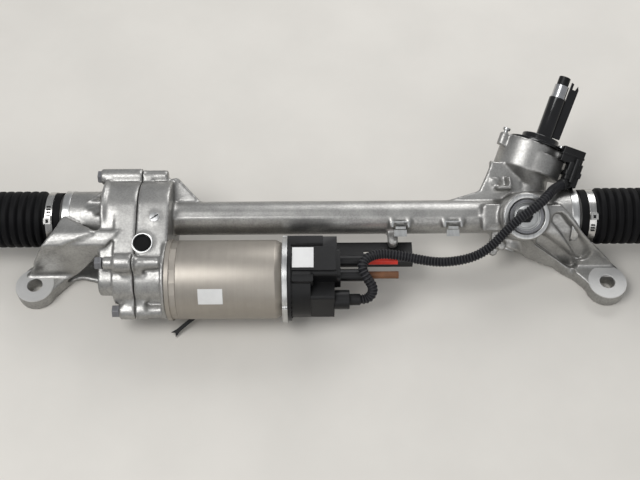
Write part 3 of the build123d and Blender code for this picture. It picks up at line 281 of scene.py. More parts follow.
def settled_dust_group():
    """Pale dust on faces that look up, broken by a soft noise."""
    group, given, result = shader_group(
        "Settled dust",
        [("Vector", "NodeSocketVector", None), ("Amount", "NodeSocketFloat", 0.3)],
        [("Mask", "NodeSocketFloat")])
    normal = node(group, "ShaderNodeNewGeometry").outputs["Normal"]
    upwards = node(group, "ShaderNodeSeparateXYZ", {0: normal}).outputs["Z"]
    broken = noise(group, given["Vector"], 160.0, 5.0, 0.7)
    cover = maths(group, "MULTIPLY", ramp(group, upwards, 0.35, 1.0), broken)
    feed(group, result["Mask"], maths(group, "MULTIPLY", cover, given["Amount"]))
    return group


def place_group(tree, name, inputs):
    """Place a shared effect in a material with its own values."""
    return node(tree, "ShaderNodeGroup", inputs, node_tree=GROUPS[name]).outputs


def blank_material(name):
    """Start a finish: its node tree, its shader and its Object coordinates."""
    material = bpy.data.materials.new(name)
    material.use_nodes = True
    MATERIALS[name] = material
    tree = material.node_tree
    shader = tree.nodes["Principled BSDF"]
    where = tree.nodes.new("ShaderNodeTexCoord").outputs["Object"]
    return tree, shader, where


def bump(tree, shader, height, strength, distance):
    """Raise the surface by a height."""
    made = node(tree, "ShaderNodeBump", {"Height": height, "Strength": strength, "Distance": distance})
    feed(tree, shader.inputs["Normal"], made.outputs[0])


def rgba(colour, factor=1.0):
    """A colour with full alpha, made lighter or darker by a factor."""
    return tuple(min(1.0, channel * factor) for channel in colour) + (1.0,)


def cast_material(name, light, dark):
    """Blasted cast aluminium."""
    tree, shader, where = blank_material(name)
    given = {"Vector": where, "Light": rgba(light), "Dark": rgba(dark), "Scale": 1.0}
    skin = place_group(tree, "mottle", given)
    dust = place_group(tree, "dust", {"Vector": where, "Amount": 0.08})
    feed(tree, shader.inputs["Base Color"], mixed(tree, dust["Mask"], skin["Colour"], PALE_DUST))
    feed(tree, shader.inputs["Roughness"], skin["Roughness"])
    feed(tree, shader.inputs["Metallic"], 0.85)
    bump(tree, shader, skin["Height"], 0.22, 0.00018)


def turned_material(name, colour, distance_from, roughness, metallic=1.0, contrast=0.25, lines=1.0):
    """Turned or drawn metal. distance_from is ("line", axis) for lines square to an axis, or
    ("ring", centre, axis) for rings about one."""
    tree, shader, where = blank_material(name)
    if distance_from[0] == "line":
        distance = vector_step(tree, "DOT_PRODUCT", {0: where, 1: distance_from[1]}, "Value")
    else:
        offset = vector_step(tree, "SUBTRACT", {0: where, 1: distance_from[1]})
        across = vector_step(tree, "CROSS_PRODUCT", {0: offset, 1: distance_from[2]})
        distance = vector_step(tree, "LENGTH", {0: across}, "Value")
    lathe = place_group(tree, "lathe", {"Distance": distance, "Scale": lines})
    shade = ramp(tree, weighted(tree, lathe["Shade"], noise(tree, where, 90.0), 0.6), 0.3, 0.7)
    colours = (rgba(colour, 1 - contrast), rgba(colour, 1 + contrast / 2))
    feed(tree, shader.inputs["Base Color"], mixed(tree, shade, *colours))
    feed(tree, shader.inputs["Roughness"], linear(tree, lathe["Shade"], 0.16, roughness - 0.08))
    feed(tree, shader.inputs["Metallic"], metallic)
    bump(tree, shader, lathe["Height"], 0.25, 0.00004)


def moulded_material(name, colour, roughness, dust=0.03, strength=0.25, shine=0.3, spread=0.22):
    """Moulded plastic or rubber with a fine grain and a little dust. Gives back its tree and shader."""
    tree, shader, where = blank_material(name)
    surface = place_group(tree, "grain", {"Vector": where, "Scale": 1.0})
    settled = place_group(tree, "dust", {"Vector": where, "Amount": dust})
    shade = ramp(tree, surface["Gloss"], 0.3, 0.7)
    body = mixed(tree, shade, rgba(colour, 1 - spread), rgba(colour, 1 + spread))
    feed(tree, shader.inputs["Base Color"], mixed(tree, settled["Mask"], body, GREY_DUST))
    feed(tree, shader.inputs["Roughness"], linear(tree, surface["Gloss"], 0.16, roughness - 0.08))
    feed(tree, shader.inputs["Specular IOR Level"], shine)
    bump(tree, shader, surface["Height"], strength, 0.00008)
    return tree, shader


def ridged_material(name, colour, roughness, ridge_highlight_colour):
    """Rubber with a painted highlight: its raised ridges are painted paler, read from the piece's own ridge
    attribute.
    """
    tree, shader = moulded_material(name, colour, roughness, dust=0.005, shine=0.12)
    under = shader.inputs["Base Color"].links[0].from_socket
    ridge = node(tree, "ShaderNodeAttribute", attribute_name="ridge").outputs["Fac"]
    # painted highlight: the ridge band is mixed towards a paler colour that stands in for light on the ridges
    ridge_highlight = maths(tree, "MULTIPLY", ramp(tree, ridge, 0.72, 1.0), 0.8)
    feed(tree, shader.inputs["Base Color"], mixed(tree, ridge_highlight, under, ridge_highlight_colour))


def make_materials(colours):
    """Build every finish once, by the part's own slot names and a few special ones."""
    GROUPS.update({"mottle": cast_mottle_group(), "lathe": lathe_lines_group(), "grain": fine_grain_group(),
                   "dust": settled_dust_group()})
    cast_material("cast_aluminium", colours.cast_light, colours.cast_dark)

    along = ("line", (1, 0, 0))
    for name, colour, roughness in (
            ("machined_aluminium", (0.62, 0.62, 0.61), 0.30), ("dark_steel", (0.16, 0.16, 0.17), 0.42),
            ("ground_steel", (0.52, 0.52, 0.53), 0.25), ("bearing_steel", (0.48, 0.48, 0.49), 0.25),
            ("lamination_steel", (0.25, 0.25, 0.26), 0.5), ("copper", (0.62, 0.27, 0.12), 0.35)):
        turned_material(name, colour, along, roughness)
    turned_material("stainless", (0.56, 0.55, 0.53), along, 0.26, lines=0.5)
    turned_material("motor_steel", colours.motor, along, 0.47, metallic=0.85, contrast=0.08, lines=0.6)
    turned_material("zinc_steel", (0.50, 0.505, 0.50), ("ring", YOKE_FOOT, YOKE_UP), 0.32, contrast=0.2)
    for side, name in SIDES:
        rings = ("ring", (side * PAD_X, 0, 0), (0, 0, 1))
        turned_material(f"pad_{name}_face", (0.58, 0.575, 0.56), rings, 0.45, metallic=0.5, contrast=0.06)

    moulded_material("black_plastic", colours.plastic, 0.40, dust=0.01)
    moulded_material("gloss_black_plastic", (0.005, 0.005, 0.006), 0.16, dust=0.01, strength=0.05, shine=0.5)
    moulded_material("belt_rubber", (0.006, 0.006, 0.0065), 0.55, dust=0.01)
    moulded_material("plain_plastic", (0.20, 0.19, 0.17), 0.5)
    moulded_material("board_green", (0.01, 0.10, 0.03), 0.35)
    moulded_material("red_insulation", colours.red_lead, 0.38, dust=0.05)
    moulded_material("brown_insulation", colours.brown_lead, 0.40, dust=0.05)
    moulded_material("label_paper", (0.68, 0.68, 0.67), 0.45, dust=0.0, strength=0.02, spread=0.04)
    # the last colour of each is the paler painted highlight on its ridges
    ridged_material("bellows_rubber", colours.rubber, 0.62, (0.022, 0.022, 0.022, 1))
    ridged_material("conduit_plastic", (0.013, 0.013, 0.015), 0.42, (0.05, 0.05, 0.052, 1))


# Building meshes

def placed(points, axes):
    """Points from a piece's own x, y, z into the part's frame: the origin plus each coordinate times its
    direction."""
    origin, x_dir, y_dir, z_dir = (np.asarray(part, float) for part in axes)
    return origin + points[..., :1] * x_dir + points[..., 1:2] * y_dir + points[..., 2:3] * z_dir


def grid_faces(rows, columns, close_rows, close_columns):
    """Quads between neighbouring rows and columns of a grid of points, joined round where it closes."""
    row = np.arange(rows if close_rows else rows - 1)[:, None]
    column = np.arange(columns if close_columns else columns - 1)[None, :]
    next_row, next_column = (row + 1) % rows, (column + 1) % columns
    corners = (row * columns + column, row * columns + next_column,
               next_row * columns + next_column, next_row * columns + column)
    size = (row.size, column.size)
    return np.stack([np.broadcast_to(corner, size) for corner in corners], axis=-1).reshape(-1, 4)


def enclosed_volume(points, faces):
    """Six times the signed volume inside the faces: their corner triangles with the origin, added up."""
    total = 0.0
    for count in {len(face) for face in faces}:
        block = np.array([face for face in faces if len(face) == count])
        first = points[block[:, 0]]
        for step in range(1, count - 1):
            total += np.einsum("ij,ij->", first, np.cross(points[block[:, step]], points[block[:, step + 1]]))
    return total


def closed_mesh(name, points, faces):
    """A closed mesh whose faces are turned outwards."""
    points = np.asarray(points, float).reshape(-1, 3)
    faces = [tuple(int(corner) for corner in face) for face in faces]
    if enclosed_volume(points - points.mean(axis=0), faces) < 0:
        faces = [face[::-1] for face in faces]
    mesh = bpy.data.meshes.new(name)
    mesh.from_pydata(points.tolist(), [], faces)
    return mesh


def new_piece(name, points, faces, material, body, sharp=35.0, ridge=None):
    """Make a closed piece with outward faces, give it its finish and let it ride on its body."""
    mesh = closed_mesh(name, points, faces)
    if ridge is not None:
        values = mesh.attributes.new("ridge", "FLOAT", "POINT").data
        values.foreach_set("value", np.ravel(ridge).astype(np.float32))
    return finish_piece(name, mesh, material, body, sharp)


def finish_piece(name, mesh, material, body, sharp=35.0):
    """Link a mesh as a piece: smooth shading with edges sharp past an angle, its finish and its body."""
    mesh.validate()
    mesh.shade_smooth()
    mesh.set_sharp_from_angle(angle=radians(sharp))
    piece = bpy.data.objects.new(name, mesh)
    bpy.context.scene.collection.objects.link(piece)
    mesh.materials.clear()
    mesh.materials.append(MATERIALS[material])
    if body:
        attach(piece, body)
    return piece


def stand_in(node_name):
    """Hide a CAD node that a piece stands in for."""
    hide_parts(node_name)


def rounded_edges(piece, width, angle=30.0):
    """Bevel a piece's edges that are sharper than an angle."""
    bevel = piece.modifiers.new("Rounded edges", "BEVEL")
    bevel.width, bevel.segments = width, 2
    bevel.limit_method, bevel.angle_limit = "ANGLE", radians(angle)
    bevel.harden_normals = True


def eased(outline, radius, closed=True):
    """Round an outline's corners: each becomes a quadratic curve, drawn with four points, between the points
    a radius before and after it."""
    outline = np.asarray(outline, float)
    before, after = np.roll(outline, 1, axis=0) - outline, np.roll(outline, -1, axis=0) - outline
    reach_before, reach_after = (np.linalg.norm(side, axis=1, keepdims=True) for side in (before, after))
    start = outline + before / reach_before * np.minimum(radius, reach_before * 0.45)
    end = outline + after / reach_after * np.minimum(radius, reach_after * 0.45)
    t = np.linspace(0, 1, 4)[:, None, None]
    curve = (1 - t) ** 2 * start + 2 * t * (1 - t) * outline + t**2 * end
    rounded = curve.transpose(1, 0, 2)
    if closed:
        return rounded.reshape(-1, 2)
    return np.vstack([outline[:1], rounded[1:-1].reshape(-1, 2), outline[-1:]])


def turned_piece(name, profile, axes, material, body, segments=96, ring=False, ridge=None, **shading):
    """Turn a profile of (along, radius) about the frame's x: point = (along, radius cos a, radius sin a).
    A ring's profile closes on itself. Any other starts and ends on the axis with one point for each pole."""
    profile = np.asarray(profile, float)
    inner = profile if ring else profile[1:-1]
    angle = np.linspace(0, 2 * pi, segments, endpoint=False)
    points = np.stack([np.repeat(inner[:, :1], segments, axis=1), inner[:, 1:] * np.cos(angle),
                       inner[:, 1:] * np.sin(angle)], axis=-1).reshape(-1, 3)
    faces = grid_faces(len(inner), segments, ring, True).tolist()
    if not ring:
        first, last = len(points), len(points) + 1
        points = np.vstack([points, (profile[0, 0], 0, 0), (profile[-1, 0], 0, 0)])
        step = np.arange(segments)
        onward = (step + 1) % segments
        edge = (len(inner) - 1) * segments
        faces += np.stack([onward, step, np.full(segments, first)], axis=1).tolist()
        faces += np.stack([edge + step, edge + onward, np.full(segments, last)], axis=1).tolist()
    if ridge is not None:
        ridge = np.repeat(np.asarray(ridge, float)[:, None], segments, axis=1)
    return new_piece(name, placed(points, axes), faces, material, body, ridge=ridge, **shading)


def prism(outline, start, end, axes):
    """Points and faces of an outline in the frame's y and z, carried along x from start to end."""
    outline = np.asarray(outline, float)
    count = len(outline)
    layers = [np.column_stack([np.full(count, along), outline]) for along in (start, end)]
    step = np.arange(count)
    onward = (step + 1) % count
    faces = np.stack([step, onward, onward + count, step + count], axis=1).tolist()
    faces += [step[::-1].tolist(), (step + count).tolist()]
    return placed(np.vstack(layers), axes), faces


def circle(radius, centre=(0.0, 0.0), count=40):
    """Points round a circle: centre plus radius times (cos a, sin a)."""
    angle = np.linspace(0, 2 * pi, count, endpoint=False)
    return np.column_stack([centre[0] + radius * np.cos(angle), centre[1] + radius * np.sin(angle)])


def box(width, height, centre=(0.0, 0.0)):
    """The four corners of a rectangle about a centre."""
    corners = np.array(((-1, -1), (1, -1), (1, 1), (-1, 1))) * (width / 2, height / 2)
    return corners + centre


def sheet(rows, axes):
    """A thick bent plate: rows of (across, left, right, top, bottom), with straight runs between them. In the
    frame, x is the height, y runs from left to right and z is the across value."""
    lines, columns = 40, 14
    rows = np.asarray(rows, float)
    rows = rows[np.argsort(rows[:, 0])]
    across = np.linspace(rows[0, 0], rows[-1, 0], lines)
    edges = [np.interp(across, rows[:, 0], rows[:, column])[:, None] for column in range(1, 5)]
    left, right, top, bottom = edges
    share = np.linspace(0, 1, columns)[None, :]
    y = left + (right - left) * share
    z = np.broadcast_to(across[:, None], y.shape)
    upper = np.stack([np.broadcast_to(top, y.shape), y, z], axis=-1)
    lower = np.stack([np.broadcast_to(bottom, y.shape), y, z], axis=-1)
    ring = np.concatenate([upper, lower[:, ::-1]], axis=1)
    around = 2 * columns
    faces = grid_faces(lines, around, False, True).tolist()
    faces += [list(range(around)), list(range((lines - 1) * around, lines * around))[::-1]]
    return placed(ring.reshape(-1, 3), axes), faces


def plate_piece(name, outline, start, end, axes, material, body, edge=0.0004):
    """A plate: its outline in the frame's y and z carried along x from start to end, with bevelled edges."""
    points, faces = prism(outline, start, end, axes)
    piece = new_piece(name, points, faces, material, body)
    if edge:
        rounded_edges(piece, edge)
    return piece


def round_boxes(name, outline, low, high, line, turns, material):
    """Equal blocks around a line along X: each is an outline of (x, sideways) carried from radius low to high
    at its turn."""
    points, faces = [], []
    for turn in turns:
        outward, onward = (0, cos(turn), sin(turn)), (0, -sin(turn), cos(turn))
        corners, sides = prism(outline, low, high, ((0, line[1], line[2]), outward, (1, 0, 0), onward))
        faces += [[corner + len(points) * len(corners) for corner in face] for face in sides]
        points.append(corners)
    return new_piece(name, np.vstack(points), faces, material, "housing")


def merged_copy(node_name):
    """A mesh copy of a CAD node with its loose triangles merged."""
    mesh = NODES[node_name].data.copy()
    shape = bmesh.new()
    shape.from_mesh(mesh)
    bmesh.ops.remove_doubles(shape, verts=shape.verts, dist=1e-6)
    shape.to_mesh(mesh)
    shape.free()
    return mesh


def body_of_node(node_name):
    """The body that carries a CAD node."""
    return next(name for name, members in BODY_NODES.items() if node_name in members)


def eased_copy(node_name, width, material=None, angle=30.0, shift=None):
    """Stand in for a CAD node with a merged copy whose sharp edges are rounded, moved by a shift."""
    mesh = merged_copy(node_name)
    if shift is not None:
        mesh.transform(Matrix.Translation(Vector(shift)))
    shape = bmesh.new()
    shape.from_mesh(mesh)
    bmesh.ops.dissolve_limit(shape, angle_limit=radians(1.0), verts=shape.verts, edges=shape.edges)
    shape.to_mesh(mesh)
    shape.free()
    piece = finish_piece(node_name + "_eased", mesh, material or SLOTS[node_name], body_of_node(node_name))
    rounded_edges(piece, width, angle)
    stand_in(node_name)


def evaluated_mesh(piece):
    """A mesh of a piece with its modifiers applied."""
    bpy.context.view_layer.update()
    return bpy.data.meshes.new_from_object(piece.evaluated_get(bpy.context.evaluated_depsgraph_get()))


def hollowed(mesh, hollow):
    """A mesh with the solid given by points and faces cut out of it."""
    target = bpy.data.objects.new("hollow_target", mesh)
    cutter = bpy.data.objects.new("hollow_cutter", closed_mesh("hollow_cutter", *hollow))
    for holder in (target, cutter):
        bpy.context.scene.collection.objects.link(holder)
    cut = target.modifiers.new("Hollow", "BOOLEAN")
    cut.operation, cut.object, cut.solver = "DIFFERENCE", cutter, "EXACT"
    result = evaluated_mesh(target)
    for holder in (target, cutter):
        bpy.data.objects.remove(holder)
    return result


def soft_casting(node_name, voxel, passes, added, hollow=None, reshape=None):
    """Stand in for a casting: cut out and join what its solid lacks, rebuild the skin on a fine grid and
    smooth it so that every edge is rounded, then move its points by a function of their places."""
    solid = merged_copy(node_name)
    if hollow:
        solid = hollowed(solid, hollow)
    shape = bmesh.new()
    shape.from_mesh(solid)
    for points, faces in added:
        extra = closed_mesh(node_name + "_extra", points, faces)
        shape.from_mesh(extra)
        bpy.data.meshes.remove(extra)
    shape.to_mesh(solid)
    shape.free()
    piece = finish_piece(node_name + "_skin", solid, SLOTS[node_name], None)
    remesh = piece.modifiers.new("Cast skin", "REMESH")
    remesh.mode, remesh.voxel_size, remesh.use_smooth_shade = "VOXEL", voxel, True
    smooth = piece.modifiers.new("Soft edges", "SMOOTH")
    smooth.factor, smooth.iterations = 0.5, passes
    skin = evaluated_mesh(piece)
    piece.modifiers.clear()
    piece.data = skin
    if reshape:
        points = np.empty(len(skin.vertices) * 3)
        skin.vertices.foreach_get("co", points)
        skin.vertices.foreach_set("co", reshape(points.reshape(-1, 3)).ravel())
        skin.update()
    skin.shade_smooth()
    skin.materials.clear()
    skin.materials.append(MATERIALS[SLOTS[node_name]])
    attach(piece, body_of_node(node_name))
    stand_in(node_name)


def rise(value, low, high):
    """A value's smooth rise from 0 at low to 1 at high: t squared times (3 - 2 t)."""
    t = np.clip((value - low) / (high - low), 0, 1)
    return t * t * (3 - 2 * t)


def lowered_tower(points):
    """Points of the main housing with the drum moved to its place: down the pinion's line and to the left, by
    a rise along the line above the shoulder times a fall away from the drum."""
    offset = points - PINION_FOOT
    along, across, back = offset @ PINION_UP, offset @ PINION_SIDE, offset @ -YOKE_UP
    nearness = 1 - rise(np.hypot(across + 0.008, back), 0.046, 0.054)
    fall = np.interp(along, (0.030, 0.046, 0.066, 0.30), (0, -0.006, -DRUM_DROP, -DRUM_DROP)) * nearness
    left = -DRUM_LEFT * rise(along, 0.046, 0.066) * nearness
    return points + fall[:, None] * PINION_UP + left[:, None] * PINION_SIDE


def bored(points, start, radius):
    """Move the points that stand inside the right neck's bore out to its wall, beyond the stop at start."""
    points = points.copy()
    inside = points[:, 0] > start
    spread = points[:, 1:] - RACK_LINE[1:]
    reach = np.maximum(np.linalg.norm(spread, axis=1), 1e-6)
    grow = np.where(inside, np.maximum(reach, radius) / reach, 1.0)
    points[:, 1:] = RACK_LINE[1:] + spread * grow[:, None]
    return points


def carved(points, outlines, depth):
    """Points sunk along the yoke's line inside rounded bars seen from the yoke's side: each bar is two ends
    and a radius, and the depth fades in over a short wall."""
    offset = points - RACK_LINE
    seen = np.column_stack([offset[:, 0], offset @ TOOTH_LINE])
    height = offset @ YOKE_UP
    sunk = np.zeros(len(points))
    for start, end, radius, lowest in outlines:
        start, run = np.array(start), np.subtract(end, start)
        share = np.clip((seen - start) @ run / (run @ run), 0, 1)
        distance = np.linalg.norm(seen - start - share[:, None] * run, axis=1)
        sunk = np.maximum(sunk, (1 - rise(distance, radius - 0.0016, radius + 0.0010)) * (height > lowest))
    return points - (depth * sunk)[:, None] * YOKE_UP


def curve_points(name, route):
    """The points of a smooth spline whose control points are the route's, read from a curve with no bevel."""
    curve = bpy.data.curves.new(name, "CURVE")
    curve.dimensions, curve.resolution_u = "3D", 12
    spline = curve.splines.new("NURBS")
    spline.points.add(len(route) - 1)
    spline.points.foreach_set("co", np.column_stack([route, np.ones(len(route))]).ravel())
    spline.order_u = 3
    spline.use_endpoint_u = True
    holder = bpy.data.objects.new(name, curve)
    bpy.context.scene.collection.objects.link(holder)
    bpy.context.view_layer.update()
    mesh = bpy.data.meshes.new_from_object(holder)
    points = np.empty(len(mesh.vertices) * 3)
    mesh.vertices.foreach_get("co", points)
    bpy.data.objects.remove(holder)
    bpy.data.curves.remove(curve)
    bpy.data.meshes.remove(mesh)
    return points.reshape(-1, 3)


def path_length(points):
    """Distance along a line of points, for each point."""
    return np.concatenate([[0], np.cumsum(np.linalg.norm(np.diff(points, axis=0), axis=1))])


def tube_piece(name, path, distance, radius, material, body, ridge=None):
    """A tube on a path: at each distance a ring of that radius, square to the path, with flat ends."""
    segments = 20
    along = path_length(path)
    centre = np.column_stack([np.interp(distance, along, path[:, axis]) for axis in range(3)])
    heading = np.gradient(centre, distance, axis=0)
    heading /= np.linalg.norm(heading, axis=1, keepdims=True)
    side = np.cross(heading, (0.0, 0.6, -0.8))
    side /= np.linalg.norm(side, axis=1, keepdims=True)
    up = np.cross(side, heading)
    angle = np.linspace(0, 2 * pi, segments, endpoint=False)[None, :, None]
    outward = np.cos(angle) * side[:, None] + np.sin(angle) * up[:, None]
    rings = centre[:, None] + np.asarray(radius)[:, None, None] * outward
    faces = grid_faces(len(distance), segments, False, True).tolist()
    last = (len(distance) - 1) * segments
    faces += [list(range(segments))[::-1], list(range(last, last + segments))]
    if ridge is not None:
        ridge = np.repeat(np.asarray(ridge, float)[:, None], segments, axis=1)
    return new_piece(name, rings.reshape(-1, 3), faces, material, body, ridge=ridge, sharp=60.0)


# The pieces

def mm(rows):
    """Millimetres to metres."""
    return np.asarray(rows, float) / 1000


# Arms as bent plates seen from the yoke's side, in mm: (up the view, left edge, right edge, top, bottom)
LEFT_ARM = mm([(-13, -306, -232, 54.5, 46), (-22, -312.5, -237.5, 57.5, 49), (-30, -318, -245, 57.5, 49),
               (-40, -327, -257, 47, 39), (-50, -335, -269.5, 32, 24), (-60, -344, -283, 15, 7),
               (-66, -350, -293, 4, -5), (-72, -353, -303, 5, -3)])
LEFT_SADDLE = mm([(2, -301, -295, 40, 30), (-6, -304, -278, 47, 33), (-13, -306, -261, 57.5, 44),
                  (-16, -308, -260, 59, 46), (-22, -313, -275, 60.7, 48), (-30, -319, -294, 60.7, 48),
                  (-38, -325, -311, 53, 41), (-46, -332, -319, 41.5, 32), (-54, -339, -330, 28, 19)])
RIGHT_ARM = mm([(14, 248, 279, 36, 30), (0, 248, 291, 38.5, 33), (-12, 247, 300, 38.5, 34),
                (-20, 246, 306, 36.5, 31), (-30, 250, 317, 30, 16), (-40, 266, 329, 20, 4),
                (-50, 282, 342, 9, -10), (-60, 300, 353, -2, -18), (-66, 311, 357, 0.5, -14),
                (-74, 316, 361, 6, -7)])
# Rounded hollows: two ends (along the rack, up the view), a radius and the lowest height they reach
ARM_POCKETS = [((0.2590, -0.0270), (0.3020, -0.0545), 0.0074, -0.010),
               ((0.2770, -0.0040), (0.3110, -0.0440), 0.0082, -0.006)]
POCKET_DEPTH = 0.014
# The open channel in the left arm's side: its plan from above, in mm, and its floor and roof
CHANNEL = mm([(-256, -34.5), (-256, -80), (-288, -80), (-307, -57), (-304, -46), (-288, -34.5)])
CHANNEL_FLOOR = -0.049
CHANNEL_ROOF = 0.040
# The right neck's bore
BORE_START = 0.268
BORE_RADIUS = 0.0262
# The belt case's seam: the cover's sleeves end at the first, and the housing's start at the second
COVER_SEAM = -0.2125
HOUSING_SEAM = -0.2124
# Belt case bolts, in mm: (rear, up, sleeve from, sleeve to, sleeve radius, thin end, thin radius)
SLEEVES = mm([(42.0, 28.0, -262.0, -212.0, 9.6, -182.0, 7.6),
              (-82.0, 31.0, -233.0, -210.0, 11.0, -184.0, 7.2),
              (-117.0, -17.0, -231.0, -200.0, 9.6, -184.0, 8.0)])
# Plugs in the belt case: (along the rack, across the case)
RUBBER_PLUG = (-0.2035, -0.0455)
SCREW_PLUG = (-0.1915, -0.0140)
# Harness clips on the tube, along the rack
CLIP_PLACES = (0.094, 0.156)
MOTOR_RADIUS = 0.0455
LID_TOP = 0.0440


def radial_rib(outline, outward):
    """A thin rib that stands out from the rack's line: an outline of (along the rack, outward)."""
    onward = np.cross((1, 0, 0), outward)
    return prism(outline, -0.0015, 0.0015, (RACK_LINE, onward, (1, 0, 0), outward))


def cover_forms():
    """What the cover's solid lacks: the arm's bent plate, lower flange and web, bolt sleeves and ribs."""
    flange = mm([(-238, -20), (-238, -64), (-250, -66.5), (-270, -58), (-290, -53), (-304, -55.5),
                 (-316, -66), (-328, -82), (-336, -60), (-312, -20)])
    web = mm([(-16, -28), (-16, -50), (-46, -50), (-44, -28)])
    tall_rib = mm([(-277, 32), (-257, 32), (-257, 43)])
    low_rib = mm([(-254, 31), (-265, 31), (-265, 33.5), (-254, 42)])
    forms = [sheet(LEFT_ARM, SEEN), sheet(LEFT_SADDLE, SEEN), prism(flange, -0.055, CHANNEL_FLOOR, UPRIGHT)]
    for lean in np.radians((103, 84)):
        forms.append(radial_rib(tall_rib, (0, cos(lean), sin(lean))))
    forms.append(prism(web, -0.254, -0.240, ALONG_RACK))
    for rear, up, start, end, radius, _, _ in SLEEVES:
        forms.append(prism(circle(radius, (rear, up)), start, min(end, COVER_SEAM), ALONG_RACK))
    for angle in np.radians(22.5 + 45 * np.arange(8)):
        forms.append(radial_rib(low_rib, (0, sin(angle), cos(angle))))
    return forms


def housing_forms():
    """What the housing's solid lacks: the arm's bent plate, bolt sleeves, plug rings, clip lugs and ribs."""
    forms = [sheet(RIGHT_ARM, SEEN)]
    for rear, up, _, end, radius, thin_end, thin_radius in SLEEVES:
        forms.append(prism(circle(thin_radius, (rear, up)), HOUSING_SEAM, thin_end, ALONG_RACK))
        if end > COVER_SEAM:
            forms.append(prism(circle(radius, (rear, up)), HOUSING_SEAM, end, ALONG_RACK))
    forms.append(prism(circle(0.0124, RUBBER_PLUG), 0.040, 0.0462, ON_CASE))
    forms.append(prism(circle(0.0076, SCREW_PLUG), 0.040, 0.0456, ON_CASE))
    drum_foot = circle(0.0360, (0.0045, 0.0))
    forms.append(prism(drum_foot, 0.066, 0.091, ALONG_PINION))
    for place in CLIP_PLACES:
        for side in (-0.010, 0.010):
            forms.append(prism(box(0.006, 0.010, (place + side, -0.008)), 0.012, 0.0222, SEEN))
    # small ribs and bosses on the right neck, each with the height of its top
    for outline, top in (
            (box(0.020, 0.005, (0.203, 0.010)), 0.024), (box(0.020, 0.005, (0.203, -0.014)), 0.022),
            (box(0.005, 0.030, (0.192, -0.002)), 0.023), (circle(0.006, (0.214, -0.034)), 0.016),
            (circle(0.005, (0.205, -0.042)), 0.010), (box(0.014, 0.016, (0.209, -0.026)), 0.014),
            (box(0.004, 0.020, (0.224, 0.042)), 0.022), (box(0.016, 0.004, (0.216, 0.034)), 0.022)):
        forms.append(prism(outline, 0.0, top, SEEN))
    return forms


def housing_reshaped(points):
    """Points of the main housing with the drum lowered, the arm's pockets sunk and the neck's bore open."""
    return bored(carved(lowered_tower(points), ARM_POCKETS, POCKET_DEPTH), BORE_START, BORE_RADIUS)


def case_place(place):
    """The frame of a plug in the belt case: its x stands out of the case."""
    along, across = place
    return RACK_LINE + (along, 0, 0) + across * CASE_ACROSS, CASE_UP, (1, 0, 0), CASE_ACROSS


class STEERINGRACK_OT_finishes(bpy.types.Operator):
    """Build the finishes and give every CAD piece its own"""

    bl_idname = "steering_rack.finishes"
    bl_label = "Finishes"

    def execute(self, context):
        make_materials(context.scene.steering_rack_colours)
        for name, piece in NODES.items():
            for slot in piece.material_slots:
                slot.material = MATERIALS[SLOTS[name]]
        return {"FINISHED"}


class STEERINGRACK_OT_sensor_conduit(bpy.types.Operator):
    """Corrugated conduit from the cover's signal plug to the sensor's connector"""

    bl_idname = "steering_rack.sensor_conduit"
    bl_label = "Sensor conduit"

    def execute(self, context):
        sizes = context.scene.steering_rack_sizes
        rib_height, points_per_rib, sleeve_length, fade_length = 0.0012, 6, 0.030, 0.012
        path = curve_points("conduit_route", CONDUIT_ROUTE)
        length = path_length(path)[-1]
        turns = round(length / sizes.conduit_rib)
        distance = np.linspace(0, length, turns * points_per_rib + 1)
        # rib height follows a flattened cosine, and fades to a plain sleeve near the sensor
        wave = (0.5 + 0.5 * np.cos(2 * pi * turns * distance / length)) ** 0.7
        fade = np.clip((length - distance - sleeve_length) / fade_length, 0.25, 1)
        radius = sizes.conduit_diameter / 2 - rib_height * fade * (1 - wave)
        # the ribs' crests carry the ridge value, which paints a paler highlight on them
        conduit = tube_piece("sensor_conduit_ribbed", path, distance, radius, "conduit_plastic", "housing",
                             ridge=wave * fade)
        stand_in("sensor_conduit")
        return {"FINISHED"}


class STEERINGRACK_OT_castings(bpy.types.Operator):
    """Gear cover and rack housing with the rounded edges of castings"""

    bl_idname = "steering_rack.castings"
    bl_label = "Castings"

    def execute(self, context):
        sizes = context.scene.steering_rack_sizes
        channel = prism(CHANNEL, CHANNEL_FLOOR, CHANNEL_ROOF, UPRIGHT)
        soft_casting("gear_cover", sizes.cast_voxel, sizes.cast_smoothing, cover_forms(), hollow=channel)
        soft_casting("rack_housing", sizes.cast_voxel, sizes.cast_smoothing, housing_forms(),
                     reshape=housing_reshaped)
        return {"FINISHED"}


class STEERINGRACK_OT_machined_faces(bpy.types.Operator):
    """Machined pads and bores of the arms, and the rings on the ends of the necks"""

    bl_idname = "steering_rack.machined_faces"
    bl_label = "Machined faces"

    def execute(self, context):
        bore = [(-0.0190, 0.0095), (-0.0190, 0.0090), (-0.0002, 0.0090), (0.0002, 0.0094)]
        pad = [(0.0002, 0.0224), (-0.0004, 0.0228), (-0.0010, 0.0228), (-0.0010, 0.0100)]
        for side, name in SIDES:
            face = ((side * PAD_X, 0, 0), (0, 0, 1), (1, 0, 0), (0, 1, 0))
            turned_piece(f"pad_{name}_face", bore + pad, face, f"pad_{name}_face", "housing", ring=True)
            ring = eased([(side * 0.2935, 0.0310), (side * 0.3022, 0.0310), (side * 0.3022, 0.0336),
                          (side * 0.2935, 0.0336)], 0.0005)
            turned_piece(f"neck_{name}_ring", ring, ALONG_RACK, "machined_aluminium", "housing", ring=True)
        return {"FINISHED"}


